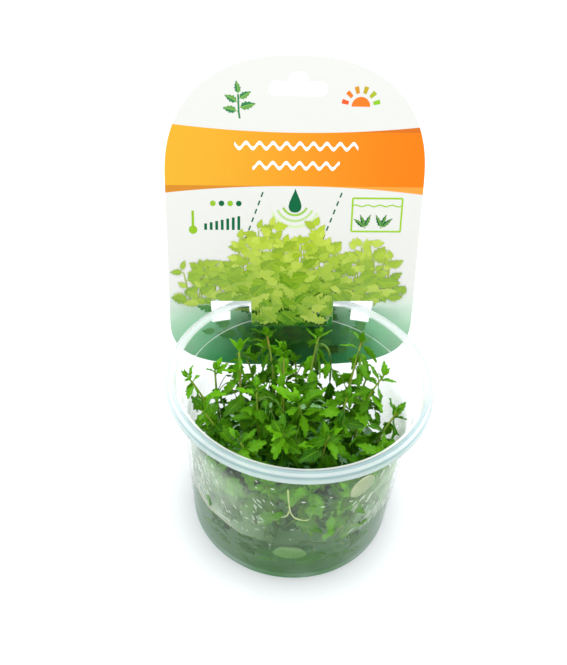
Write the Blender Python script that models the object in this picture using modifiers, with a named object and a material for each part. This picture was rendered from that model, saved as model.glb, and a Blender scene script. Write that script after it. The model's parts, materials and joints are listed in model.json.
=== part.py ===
"""Mermaid weed grown in a culture cup: rooted sprigs, nutrient gel, cup and hanging card.

Origin at the centre of the cup's underside, +Z up, the card at the back (+Y). All sizes are in metres.
"""
import math
import random

import bmesh
import bpy
from mathutils import Matrix, Vector

# Cup, a turned shell with a stepped wall and a rim with a skirt
CUP_HEIGHT = 0.075
RIM_RADIUS = 0.0502
BASE_RADIUS = 0.0419
FLOOR_THICKNESS = 0.0010
WALL_THICKNESS = 0.00085
RIM_TOP_WIDTH = 0.0031
SKIRT_HEIGHT = 0.0036
SKIRT_FLARE = 0.0007
LEDGE_DEPTH = 0.0076
LEDGE_WIDTH = 0.0011
LEDGE_SLOPE = 0.0008
RIM_ROUNDING = 0.0007
FOOT_ROUNDING = 0.0014
FLOOR_CORNER = 0.0028
CUP_SEGMENTS = 50

# Gel on the cup's floor, with a pocket for each stem
FIT_GAP = 0.0003
GEL_TOP = 0.0200
GEL_MENISCUS = 0.0006
GEL_FOOT = 0.0030
GEL_SEGMENTS = 42
STEM_FOOT = 0.0110
POCKET_SIDES = 6

# Hanging card: outline, lean and the cut-outs that the rim passes through
CARD_HALF_WIDTH = 0.0510
CARD_TOP = 0.0984
CARD_BOTTOM = -0.0380
CARD_TOP_ARCH = 0.0464
CARD_BOTTOM_ARCH = 0.0300
CARD_ARCH_POWER = 2.35
CARD_ARCH_STEPS = 18
CARD_THICKNESS = 0.00045
CARD_Y = 0.0400
CARD_X = -0.0010
CARD_LEAN = math.radians(18.0)
CARD_TURN = math.radians(0.7)
CARD_BEND = 0.0070
CARD_WRAP_RADIUS = 0.135
CARD_WRAP_Y = 0.0476
CARD_WRAP_TAPER = 0.08
SQUARE_IN = 0.0260
SQUARE_OUT = 0.0338
SQUARE_TOP = 0.0021
SQUARE_BOTTOM = -0.0115
STRIP_TOP = -0.0054
TONGUE_HALF = 0.0172
TONGUE_BOTTOM = -0.0092
TONGUE_CORNER = 0.0018
CUT_WIDTH = 0.0006
SLOT_V = 0.0866
SLOT_HALF = 0.0112
SLOT_RADIUS = 0.0026
BUMP_HALF = 0.0036
BUMP_RISE = 0.0034
BUMP_CORNER = 0.0022
CARD_ROWS = (-0.029, -0.0185, -CARD_BEND, -CARD_BEND / 2, 0.0)
CARD_COLUMNS = (-0.042, -0.029, -0.014, 0.0, 0.014, 0.029, 0.042)

# Sprigs: foot x, y; tip x, y, z; sideways bow of the stem; number of leaves; all in metres
SPRIGS = [
    (-0.031, 0.005, -0.0430, 0.004, 0.0680, 0.002, 7),
    (-0.028, -0.007, -0.0375, -0.005, 0.0590, -0.003, 7),
    (-0.020, 0.017, -0.0230, 0.029, 0.0620, 0.003, 7),
    (-0.008, 0.024, -0.0118, 0.037, 0.0630, -0.002, 7),
    (-0.003, 0.013, -0.0040, 0.030, 0.0600, 0.002, 7),
    (0.003, 0.004, 0.0010, 0.006, 0.0520, -0.002, 7),
    (0.009, 0.022, 0.0112, 0.036, 0.0630, 0.004, 7),
    (0.021, 0.018, 0.0285, 0.030, 0.0660, -0.002, 7),
    (0.027, 0.008, 0.0360, 0.013, 0.0610, 0.002, 7),
    (0.030, -0.006, 0.0385, -0.006, 0.0590, -0.003, 7),
    (0.025, -0.018, 0.0330, -0.020, 0.0530, 0.002, 7),
    (-0.013, 0.003, -0.0160, 0.008, 0.0580, 0.003, 7),
    (0.015, 0.000, 0.0200, 0.004, 0.0570, -0.003, 7),
    (-0.019, -0.013, -0.0230, -0.014, 0.0530, 0.002, 7),
    (-0.005, -0.010, -0.0060, -0.010, 0.0530, -0.003, 7),
    (0.011, -0.014, 0.0120, -0.013, 0.0540, 0.003, 7),
    (-0.028, -0.023, -0.0310, -0.024, 0.0450, -0.002, 7),
    (-0.012, -0.027, -0.0130, -0.031, 0.0460, 0.002, 7),
    (0.004, -0.028, 0.0040, -0.033, 0.0450, -0.002, 7),
    (0.018, -0.031, 0.0190, -0.033, 0.0440, 0.002, 7),
    (-0.031, 0.021, -0.0330, 0.023, 0.0540, 0.002, 7),
    (-0.016, 0.033, -0.0200, 0.035, 0.0500, -0.002, 6),
    (0.030, 0.024, 0.0320, 0.024, 0.0500, 0.002, 6),
    (0.004, 0.035, 0.0020, 0.037, 0.0460, 0.002, 6),
]
# Large drooping leaves that show on their own: sprig number, place along the stem, direction, length, width
SHOWN_LEAVES = [
    (3, 0.93, (0.05, -0.60, -0.80), 0.0120, 0.0044),
    (5, 0.97, (-0.10, -0.60, -0.80), 0.0120, 0.0056),
    (6, 0.97, (-0.70, 0.25, 0.55), 0.0135, 0.0046),
    (6, 0.93, (0.70, 0.25, 0.50), 0.0135, 0.0046),
    (7, 0.85, (0.25, -0.60, -0.75), 0.0130, 0.0046),
    (8, 0.86, (0.15, -0.60, -0.75), 0.0115, 0.0046),
    (9, 0.80, (-0.60, -0.30, 0.20), 0.0110, 0.0040),
    (1, 0.70, (-0.10, -0.75, 0.10), 0.0090, 0.0036),
]
STEM_RADIUS = 0.00070
STEM_STEPS = 5
LEAF_LENGTH = 0.0105
LEAF_SLENDER = 0.38
LEAF_THICKNESS = 0.0006
TIP_LEAVES = 3
TIP_PLACE = 0.965
LEAF_TURN = math.radians(137.5)
LEAF_ARCH = 0.10
LEAF_SAMPLES = 10
LEAF_CLEARANCE = 0.00135
LEAF_APART = 0.0028
WALL_ROOM = 0.0009
GEL_ROOM = 0.0015
TONGUE_ROOM = 0.0045
LEAF_TRIES = 60
SEED = 7

CUP_COLOR = (0.80, 0.86, 0.86, 1.0)
GEL_COLOR = (0.45, 0.55, 0.42, 1.0)
CARD_COLOR = (0.90, 0.91, 0.88, 1.0)
LEAF_COLOR = (0.10, 0.27, 0.03, 1.0)


def clear_scene():
    for item in list(bpy.data.objects):
        bpy.data.objects.remove(item)


def new_collection(name):
    collection = bpy.data.collections.new(name)
    bpy.context.scene.collection.children.link(collection)
    return collection


def new_material(name, color, roughness):
    material = bpy.data.materials.new(name)
    material.use_nodes = True
    shader = material.node_tree.nodes["Principled BSDF"]
    shader.inputs["Base Color"].default_value = color
    shader.inputs["Roughness"].default_value = roughness
    shader.inputs["Metallic"].default_value = 0.0
    return material


def new_object(name, mesh, collection, material=None):
    item = bpy.data.objects.new(name, mesh)
    collection.objects.link(item)
    if material:
        mesh.materials.clear()
        mesh.materials.append(material)
    return item


def hide_guide(item):
    item.hide_render = True
    item.display_type = "WIRE"


def mesh_from_curve(item):
    """Turn a curve object into a closed mesh, with its caps welded on."""
    graph = bpy.context.evaluated_depsgraph_get()
    mesh = bpy.data.meshes.new_from_object(item.evaluated_get(graph))
    shape = bmesh.new()
    shape.from_mesh(mesh)
    bmesh.ops.remove_doubles(shape, verts=shape.verts, dist=0.00001)
    shape.to_mesh(mesh)
    shape.free()
    bpy.data.objects.remove(item)
    return mesh


def turned(name, profile, segments, collection, material):
    """Turn a profile of (radius, height) points, which starts and ends on the axis."""
    mesh = bpy.data.meshes.new(name)
    verts = [(radius, 0.0, height) for radius, height in profile]
    mesh.from_pydata(verts, [(i, i + 1) for i in range(len(verts) - 1)], [])
    item = new_object(name, mesh, collection, material)
    screw = item.modifiers.new("turn", "SCREW")
    screw.steps = segments
    screw.render_steps = segments
    screw.use_merge_vertices = True
    screw.merge_threshold = 0.00001
    screw.use_smooth_shade = True
    return item


def inner_wall_radius(z):
    """Inside radius of the cup's wall below the ledge, at height z."""
    low, high = BASE_RADIUS - WALL_THICKNESS, RIM_RADIUS - RIM_TOP_WIDTH - SKIRT_FLARE - 2 * LEDGE_WIDTH
    return low + (high - low) * z / (CUP_HEIGHT - LEDGE_DEPTH)


def cup(collection):
    ledge_z = CUP_HEIGHT - LEDGE_DEPTH
    ledge_r = inner_wall_radius(ledge_z)
    upper_r = ledge_r + LEDGE_WIDTH
    inner_rim = RIM_RADIUS - RIM_TOP_WIDTH
    skirt_r = RIM_RADIUS + SKIRT_FLARE
    skirt_z = CUP_HEIGHT - SKIRT_HEIGHT
    under = CUP_HEIGHT - WALL_THICKNESS * 1.25
    profile = [
        (0.0, FLOOR_THICKNESS),
        (inner_wall_radius(0.0) - FLOOR_CORNER * 0.7, FLOOR_THICKNESS),
        (inner_wall_radius(FLOOR_CORNER), FLOOR_CORNER),
        (ledge_r, ledge_z - LEDGE_SLOPE),
        (upper_r, ledge_z),
        (inner_rim - RIM_ROUNDING * 1.3, CUP_HEIGHT - RIM_ROUNDING * 1.4),
        (inner_rim, CUP_HEIGHT),
        (RIM_RADIUS - RIM_ROUNDING, CUP_HEIGHT),
        (RIM_RADIUS, CUP_HEIGHT - RIM_ROUNDING),
        (skirt_r, skirt_z),
        (skirt_r - WALL_THICKNESS, skirt_z),
        (RIM_RADIUS - WALL_THICKNESS, under),
        (inner_rim + WALL_THICKNESS * 0.25, under),
        (upper_r + WALL_THICKNESS, ledge_z - LEDGE_SLOPE * 0.25),
        (ledge_r + WALL_THICKNESS, ledge_z - LEDGE_SLOPE * 1.5),
        (BASE_RADIUS, FOOT_ROUNDING),
        (BASE_RADIUS - FOOT_ROUNDING * 0.35, FOOT_ROUNDING * 0.25),
        (BASE_RADIUS - FOOT_ROUNDING, 0.0),
        (0.0, 0.0),
    ]
    plastic = new_material("cup_plastic", CUP_COLOR, 0.25)
    return turned("cup", profile, CUP_SEGMENTS, collection, plastic)


def pockets(collection):
    """Cutter for the gel: one blind hole, wider than the stem, for each sprig."""
    shape = bmesh.new()
    radius = (STEM_RADIUS + FIT_GAP) / math.cos(math.pi / POCKET_SIDES)
    low, high = STEM_FOOT - FIT_GAP, GEL_TOP + 0.0010
    for row in SPRIGS:
        place = Matrix.Translation((row[0], row[1], (low + high) / 2))
        bmesh.ops.create_cone(shape, cap_ends=True, segments=POCKET_SIDES, radius1=radius,
                              radius2=radius, depth=high - low, matrix=place)
    mesh = bpy.data.meshes.new("stem_pockets")
    shape.to_mesh(mesh)
    shape.free()
    item = new_object("stem_pockets", mesh, collection)
    hide_guide(item)
    return item


def gel(collection, cutters):
    floor = FLOOR_THICKNESS + FIT_GAP
    top_r = inner_wall_radius(GEL_TOP)
    profile = [
        (0.0, GEL_TOP),
        (top_r - GEL_FOOT, GEL_TOP),
        (top_r - FIT_GAP, GEL_TOP + GEL_MENISCUS),
        (inner_wall_radius(GEL_FOOT) - FIT_GAP, GEL_FOOT + FIT_GAP),
        (inner_wall_radius(0.0) - GEL_FOOT * 0.8, floor),
        (0.0, floor),
    ]
    jelly = new_material("gel", GEL_COLOR, 0.15)
    item = turned("gel", profile, GEL_SEGMENTS, collection, jelly)
    cut = item.modifiers.new("stem_pockets", "BOOLEAN")
    cut.operation = "DIFFERENCE"
    cut.solver = "EXACT"
    cut.object = pockets(cutters)
    return item


def arc(center, radius, start, end, steps):
    """Points of an arc about center, from angle start to angle end in degrees."""
    angles = [math.radians(start + (end - start) * i / steps) for i in range(steps + 1)]
    return [(center[0] + radius * math.cos(a), center[1] + radius * math.sin(a)) for a in angles]


def card_outline():
    """The card's edge: a squarish arch at the top and another at the bottom."""
    points = []
    for foot, rise, first in ((CARD_TOP - CARD_TOP_ARCH, CARD_TOP_ARCH, 0.0),
                              (CARD_BOTTOM + CARD_BOTTOM_ARCH, CARD_BOTTOM_ARCH, math.pi)):
        for i in range(CARD_ARCH_STEPS + 1):
            angle = first + math.pi * i / CARD_ARCH_STEPS
            c, s = math.cos(angle), math.sin(angle)
            x = math.copysign(abs(c) ** (2 / CARD_ARCH_POWER), c)
            v = math.copysign(abs(s) ** (2 / CARD_ARCH_POWER), s)
            points.append((CARD_HALF_WIDTH * x, foot + rise * v))
    return points


def rim_cut():
    """The cut that lets the rim through: square holes, bars and a slit round the tongue."""
    corner = (TONGUE_HALF - TONGUE_CORNER, TONGUE_BOTTOM + TONGUE_CORNER)
    tongue = arc(corner, TONGUE_CORNER, 0, -90, 3)
    slit = arc(corner, TONGUE_CORNER + CUT_WIDTH, -90, 0, 3)
    right = [(TONGUE_HALF, SQUARE_TOP), (SQUARE_OUT, SQUARE_TOP), (SQUARE_OUT, SQUARE_BOTTOM),
             (SQUARE_IN, SQUARE_BOTTOM), (SQUARE_IN, STRIP_TOP), (TONGUE_HALF + CUT_WIDTH, STRIP_TOP)]
    right = list(reversed(tongue)) + right + list(reversed(slit))
    left = [(-x, v) for x, v in reversed(right)]
    return right + left


def hang_slot():
    """The slot that hangs on a peg: a bar with round ends and a bump over its middle."""
    x, r = SLOT_HALF - SLOT_RADIUS, SLOT_RADIUS
    bump_top = SLOT_V + r + BUMP_RISE
    bump = [(BUMP_HALF, SLOT_V + r)]
    bump += arc((BUMP_HALF - BUMP_CORNER, bump_top - BUMP_CORNER), BUMP_CORNER, 0, 90, 3)
    bump += [(-u, v) for u, v in reversed(bump)]
    return arc((x, SLOT_V), r, -90, 90, 6) + bump + arc((-x, SLOT_V), r, 90, 270, 6)


def on_tongue(x, v):
    """True on the tongue's side of the slit, whose lower corners are round."""
    reach = TONGUE_CORNER + CUT_WIDTH / 2
    across = abs(x) - (TONGUE_HALF - TONGUE_CORNER)
    down = TONGUE_BOTTOM + TONGUE_CORNER - v
    if across > 0 and down > 0:
        return math.hypot(across, down) < reach
    return across < reach and down < reach


def card_place(x, v, off):
    """Where a point of the flat card goes: x across, v up from the rim, off towards the front."""
    tongue = on_tongue(x, v)
    c, s = math.cos(CARD_TURN), math.sin(CARD_TURN)
    x, v = x * c - v * s, x * s + v * c
    if v >= 0 or tongue:
        up = Vector((0.0, math.sin(CARD_LEAN), math.cos(CARD_LEAN)))
        front = Vector((0.0, -math.cos(CARD_LEAN), math.sin(CARD_LEAN)))
        return Vector((x + CARD_X, CARD_Y, CUP_HEIGHT)) + up * v + front * off
    ease = min(1.0, -v / CARD_BEND)
    if abs(x) < SQUARE_IN + CUT_WIDTH:
        ease = 1.0
    wrap = CARD_WRAP_Y + CARD_WRAP_TAPER * (v + CARD_BEND) - x * x / (2 * CARD_WRAP_RADIUS)
    lean = CARD_LEAN * (1 - ease)
    y = CARD_Y * (1 - ease) + wrap * ease
    turn = x / CARD_WRAP_RADIUS * ease
    front = Vector((-math.sin(turn), -math.cos(lean) * math.cos(turn), math.sin(lean)))
    return Vector((x + CARD_X, y, CUP_HEIGHT + v)) + front * off


def card(collection):
    curve = bpy.data.curves.new("card", "CURVE")
    curve.dimensions = "2D"
    curve.fill_mode = "BOTH"
    curve.extrude = CARD_THICKNESS / 2
    for points in (card_outline(), rim_cut(), hang_slot()):
        spline = curve.splines.new("POLY")
        spline.points.add(len(points) - 1)
        for point, (x, v) in zip(spline.points, points):
            point.co = (x, v, 0.0, 1.0)
        spline.use_cyclic_u = True
    mesh = mesh_from_curve(new_object("card_outline", curve, collection))
    shape = bmesh.new()
    shape.from_mesh(mesh)
    cuts = [((0.0, v, 0.0), (0, 1, 0)) for v in CARD_ROWS]
    cuts += [((x, 0.0, 0.0), (1, 0, 0)) for x in CARD_COLUMNS]
    for point, normal in cuts:
        faces = [f for f in shape.faces if min(w.co.y for w in f.verts) < FIT_GAP]
        edges = {e for f in faces for e in f.edges}
        verts = {w for f in faces for w in f.verts}
        parts = [*verts, *edges, *faces]
        bmesh.ops.bisect_plane(shape, geom=parts, plane_co=point, plane_no=normal, dist=0.000005)
    bmesh.ops.triangulate(shape, faces=shape.faces)
    for vert in shape.verts:
        vert.co = card_place(vert.co.x, vert.co.y, vert.co.z)
    bmesh.ops.recalc_face_normals(shape, faces=shape.faces)
    shape.to_mesh(mesh)
    shape.free()
    mesh.name = "card"
    return new_object("card", mesh, collection, new_material("card_board", CARD_COLOR, 0.45))


def stem_path(row):
    """A sprig's stem: straight up out of the gel, then bowing over to its tip; t runs 0 to 1."""
    foot = Vector((row[0], row[1], GEL_TOP + 0.0012))
    tip = Vector(row[2:5])
    rise = tip.z - foot.z
    aside = Vector((-(tip.y - foot.y), tip.x - foot.x, 0.0))
    side = aside.normalized() if aside.length > 0 else Vector((1.0, 0.0, 0.0))
    knee = foot + Vector((0.0, 0.0, 0.6 * rise)) + side * row[5]

    def place(t):
        return foot * (1 - t) ** 2 + knee * (2 * t * (1 - t)) + tip * t ** 2

    def heading(t):
        return ((knee - foot) * (1 - t) + (tip - knee) * t).normalized()

    return place, heading


def leaf_width(t):
    """A lance-shaped leaf's half width at t from foot to tip, as a share of its greatest."""
    return min(1.0, t / 0.3) if t < 0.3 else 1.0 - 0.9 * ((t - 0.3) / 0.7) ** 1.6


def leaf_frame(start, direction, stem_heading):
    """Axes of a leaf: along it, across it, and off its upper face."""
    along = Vector(direction).normalized()
    across = stem_heading.cross(along)
    if across.length < 0.05:
        across = Vector((1.0, 0.0, 0.0)).cross(along)
    across.normalize()
    return start, along, across, along.cross(across)


def leaf_point(frame, length, width, t, s, off=0.0):
    """A point of a leaf: t along it, s across it from -1 to 1, off above its face. It arches down."""
    start, along, across, face = frame
    arch = -LEAF_ARCH * length * t * t
    return start + along * (length * t) + across * (width / 2 * leaf_width(t) * s) + face * (arch + off)


def leaf_samples(frame, length, width):
    """Points over a leaf, from a little way out along it, for the clearance tests."""
    points = []
    for i in range(2, LEAF_SAMPLES + 1):
        for s in (-1.0, -0.5, 0.0, 0.5, 1.0):
            points.append(leaf_point(frame, length, width, i / LEAF_SAMPLES, s))
    return points


class Crowd:
    """Remembers where stems and leaves are, so that each new leaf finds a free place."""

    def __init__(self):
        self.cell = 0.004
        self.cells = {}

    def key(self, p):
        return (math.floor(p.x / self.cell), math.floor(p.y / self.cell), math.floor(p.z / self.cell))

    def add(self, points, owner):
        for p in points:
            self.cells.setdefault(self.key(p), []).append((p, owner))

    def is_free(self, points, owner):
        for p in points:
            a, b, c = self.key(p)
            for cell in ((a + i, b + j, c + k) for i in (-1, 0, 1) for j in (-1, 0, 1) for k in (-1, 0, 1)):
                for q, other in self.cells.get(cell, ()):
                    if other != owner and (p - q).length < LEAF_CLEARANCE:
                        return False
        return True


def inside_cup(points):
    """True where points stay off the wall, the gel and the card's tongue."""
    for p in points:
        wall = inner_wall_radius(min(p.z, CUP_HEIGHT - LEDGE_DEPTH))
        if math.hypot(p.x, p.y) > wall - WALL_ROOM:
            return False
        if p.z < GEL_TOP + GEL_ROOM or p.z > CUP_HEIGHT - GEL_ROOM:
            return False
        if p.z > CUP_HEIGHT + TONGUE_BOTTOM - GEL_ROOM and p.y > CARD_Y - TONGUE_ROOM:
            return False
    return True


def grow(rows):
    """Place every sprig's leaves: lists of (frame, length, width), each clear of all other sprigs."""
    crowd = Crowd()
    rng = random.Random(SEED)
    paths = [stem_path(row) for row in rows]
    for number, (place, _) in enumerate(paths):
        crowd.add([place(i / 40) for i in range(41)], number)
    leaves = [[] for _ in rows]

    def settle(number, t, direction, length, width):
        """Keep a leaf if it is clear of its neighbours, and say whether it was kept."""
        place, heading = paths[number]
        frame = leaf_frame(place(t), direction, heading(t))
        points = leaf_samples(frame, length, width)
        own = leaf_point(frame, length, width, 0.6, 0.0)
        apart = all((own - leaf_point(*leaf, 0.6, 0.0)).length > LEAF_APART for leaf in leaves[number])
        if apart and inside_cup(points) and crowd.is_free(points, number):
            crowd.add(points, number)
            leaves[number].append((frame, length, width))
            return True
        return False

    for number, t, direction, length, width in SHOWN_LEAVES:
        settle(number - 1, t, direction, length, width)
    for number, row in enumerate(rows):
        place, heading = paths[number]
        count = row[6]
        turn = rng.uniform(0.0, 2 * math.pi)
        for i in range(count):
            top = i < TIP_LEAVES
            t = TIP_PLACE - 0.02 * i if top else 0.90 - 0.74 * (i - TIP_LEAVES) / max(1, count - TIP_LEAVES)
            size = 0.68 if top else 0.82 + 0.30 * (1 - t)
            for attempt in range(LEAF_TRIES):
                angle = turn + i * LEAF_TURN + rng.uniform(-0.3, 0.3) * (1 + attempt / 6)
                rise = rng.uniform(0.55, 1.05) if top else rng.uniform(-0.15, 0.55)
                axis = heading(t)
                out = axis.orthogonal().normalized()
                out.rotate(Matrix.Rotation(angle, 3, axis))
                shrink = 1.0 - 0.35 * attempt / LEAF_TRIES
                length = LEAF_LENGTH * size * rng.uniform(0.9, 1.12) * shrink
                direction = out * math.cos(rise) + axis * math.sin(rise)
                if settle(number, t, direction, length, length * LEAF_SLENDER):
                    break
    return leaves


def leaf_cluster(name, leaves, collection):
    """All of one sprig's leaves as pointed lens shapes with a raised middle, made from stretched balls."""
    shape = bmesh.new()
    for frame, length, width in leaves:
        verts = bmesh.ops.create_uvsphere(shape, u_segments=4, v_segments=3, radius=1.0)["verts"]
        ring = math.cos(math.pi / 6)
        for vert in verts:
            t = (vert.co.z + 1) / 2
            s, lift = vert.co.x / ring, vert.co.y / ring
            vert.co = leaf_point(frame, length, width, t, s, lift * LEAF_THICKNESS / 2)
    bmesh.ops.recalc_face_normals(shape, faces=shape.faces)
    mesh = bpy.data.meshes.new(name)
    shape.to_mesh(mesh)
    shape.free()
    item = new_object(name, mesh, collection)
    hide_guide(item)
    return item


def stem(name, row, collection):
    place, _ = stem_path(row)
    points = [Vector((row[0], row[1], STEM_FOOT))] + [place(i / STEM_STEPS) for i in range(STEM_STEPS + 1)]
    curve = bpy.data.curves.new(name, "CURVE")
    curve.dimensions = "3D"
    curve.bevel_depth = STEM_RADIUS
    curve.bevel_resolution = 0
    curve.use_fill_caps = True
    spline = curve.splines.new("POLY")
    spline.points.add(len(points) - 1)
    for i, point in enumerate(points):
        spline.points[i].co = (*point, 1.0)
        spline.points[i].radius = 1.0 - 0.35 * i / len(points)
    return mesh_from_curve(new_object(name, curve, collection))


def sprigs(collection, cutters):
    green = new_material("leaf_green", LEAF_COLOR, 0.5)
    for number, (row, leaves) in enumerate(zip(SPRIGS, grow(SPRIGS)), start=1):
        name = f"sprig_{number:02d}"
        item = new_object(name, stem(name, row, collection), collection, green)
        union = item.modifiers.new("leaves", "BOOLEAN")
        union.operation = "UNION"
        union.solver = "EXACT"
        union.use_self = True
        union.object = leaf_cluster(name + "_leaves", leaves, cutters)


def main():
    clear_scene()
    parts = new_collection("mermaid_weed_cup")
    cutters = new_collection("cutters")
    cup(parts)
    gel(parts, cutters)
    card(parts)
    sprigs(parts, cutters)


main()
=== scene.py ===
# %% [markdown]
# # Mermaid weed in a culture cup
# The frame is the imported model: a cup, a layer of gel, a hanging card and 24 sprigs. It is loaded first,
# because every finished piece goes where its solid stands. All lengths are in metres.

# %% Load the frame
import json
import math
import random

import bmesh
import bpy
from mathutils import Matrix, Vector

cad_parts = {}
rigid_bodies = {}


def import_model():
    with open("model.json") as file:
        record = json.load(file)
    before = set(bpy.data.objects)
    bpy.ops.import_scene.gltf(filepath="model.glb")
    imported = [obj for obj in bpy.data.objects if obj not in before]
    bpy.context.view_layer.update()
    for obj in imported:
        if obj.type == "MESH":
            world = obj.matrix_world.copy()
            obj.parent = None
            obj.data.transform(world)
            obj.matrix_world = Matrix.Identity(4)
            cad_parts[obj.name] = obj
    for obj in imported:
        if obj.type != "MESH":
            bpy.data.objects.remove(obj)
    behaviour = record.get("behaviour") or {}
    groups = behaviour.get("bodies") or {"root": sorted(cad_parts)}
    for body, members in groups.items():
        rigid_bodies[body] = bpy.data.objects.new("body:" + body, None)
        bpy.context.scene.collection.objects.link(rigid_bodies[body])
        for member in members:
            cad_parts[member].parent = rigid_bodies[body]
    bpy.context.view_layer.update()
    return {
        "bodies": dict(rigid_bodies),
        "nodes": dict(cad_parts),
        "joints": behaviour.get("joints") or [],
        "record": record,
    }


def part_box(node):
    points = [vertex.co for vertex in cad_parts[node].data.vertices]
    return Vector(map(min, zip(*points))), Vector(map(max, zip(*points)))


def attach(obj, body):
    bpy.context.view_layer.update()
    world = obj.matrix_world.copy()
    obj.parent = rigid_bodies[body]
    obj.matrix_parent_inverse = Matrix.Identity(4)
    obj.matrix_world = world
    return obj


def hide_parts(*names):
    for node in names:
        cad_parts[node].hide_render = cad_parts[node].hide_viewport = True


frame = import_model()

SPRIG_NODES = sorted(name for name in frame["nodes"] if name.startswith("sprig_"))
print("frame:", len(frame["nodes"]), "nodes,", len(SPRIG_NODES), "of them sprigs")

# %% [markdown]
# ## Measures
# A culture cup is a low tub with a step inside, just under its rolled rim. Its height and the radius of its
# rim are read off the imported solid, so that they can't drift away from it. What a box can't tell, such as the
# width of the rim's top, repeats the numbers that the solids were made with.

# %% Cup, gel and card sizes
CUP_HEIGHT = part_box("cup")[1].z
SKIRT_FLARE = 0.0007
RIM_RADIUS = round(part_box("cup")[1].x, 4) - SKIRT_FLARE
BASE_RADIUS = 0.0419
FLOOR_THICKNESS = 0.0010
WALL_THICKNESS = 0.00085
RIM_TOP_WIDTH = 0.0031
SKIRT_HEIGHT = 0.0036
LEDGE_DEPTH = 0.0076
LEDGE_WIDTH = 0.0011
LEDGE_SLOPE = 0.0008
RIM_ROUNDING = 0.0007
FOOT_ROUNDING = 0.0014
FLOOR_CORNER = 0.0028
GEL_TOP = 0.0200
print(f"cup {CUP_HEIGHT * 1000:.1f} mm tall, rim radius {RIM_RADIUS * 1000:.1f} mm")

# %% [markdown]
# ## Camera
# The photograph was taken from the front, about 40 degrees above the table, with an ordinary lens. The eye
# and the aim were worked out from the ellipses of the rim and the base. The camera is also rolled a little,
# because the cup stands slightly askew in the picture.

# %% Camera
EYE = Vector((-0.02518, -0.20584, 0.26900))
FORWARD = Vector((0.06572, 0.76040, -0.64612))
RIGHT = Vector((0.99779, -0.04405, 0.04965))
PICTURE = (567, 665)
FOCAL_PIXELS = 749.5
SENSOR_WIDTH = 36.0
NEAREST_SEEN = 0.01


def new_object(name, data):
    item = bpy.data.objects.new(name, data)
    bpy.context.scene.collection.objects.link(item)
    return item


def make_camera():
    data = bpy.data.cameras.new("camera")
    data.sensor_width = SENSOR_WIDTH
    data.lens = FOCAL_PIXELS / max(PICTURE) * SENSOR_WIDTH
    data.clip_start = NEAREST_SEEN
    item = new_object("camera", data)
    up = RIGHT.cross(FORWARD).normalized()
    turn = Matrix((RIGHT, up, -FORWARD)).transposed()
    item.location = EYE
    item.rotation_euler = turn.to_euler()
    bpy.context.scene.camera = item
    return item


camera = make_camera()
print(f"camera lens {camera.data.lens:.1f} mm")

# %% [markdown]
# ## Shader sums as Python
# A finish is easier to read as a formula than as a list of nodes and links. `Field` wraps the output of a
# node, and its operators add Math nodes, so `1 - mask` is a mask turned round. `Finish` owns a material, and
# its one `node` method adds any other node: first its type, then its settings, then its sockets. Colours go
# through `mix`, because a Math node would turn them grey.

# %% Field
class Field:
    """One value or colour that changes over a surface."""

    def __init__(self, finish, socket):
        self.finish, self.socket = finish, socket

    def sum(self, operation, *values):
        return self.finish.node("ShaderNodeMath", {"operation": operation}, *values)

    def __add__(self, other):
        return self.sum("ADD", self, other)

    def __radd__(self, other):
        return self.sum("ADD", other, self)

    def __sub__(self, other):
        return self.sum("SUBTRACT", self, other)

    def __rsub__(self, other):
        return self.sum("SUBTRACT", other, self)

    def __mul__(self, other):
        return self.sum("MULTIPLY", self, other)

    def __rmul__(self, other):
        return self.sum("MULTIPLY", other, self)

    def __abs__(self):
        return self.sum("ABSOLUTE", self)

    def __pow__(self, other):
        return self.sum("POWER", self, other)

    def sin(self):
        return self.sum("SINE", self)

    def most(self, other):
        return self.sum("MAXIMUM", self, other)

    def least(self, other):
        return self.sum("MINIMUM", self, other)

    def step(self, low, high, to_low=0.0, to_high=1.0):
        """Rises smoothly from to_low to to_high as the value goes from low to high."""
        settings = {"interpolation_type": "SMOOTHSTEP"}
        return self.finish.node("ShaderNodeMapRange", settings, self, low, high, to_low, to_high)


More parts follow.
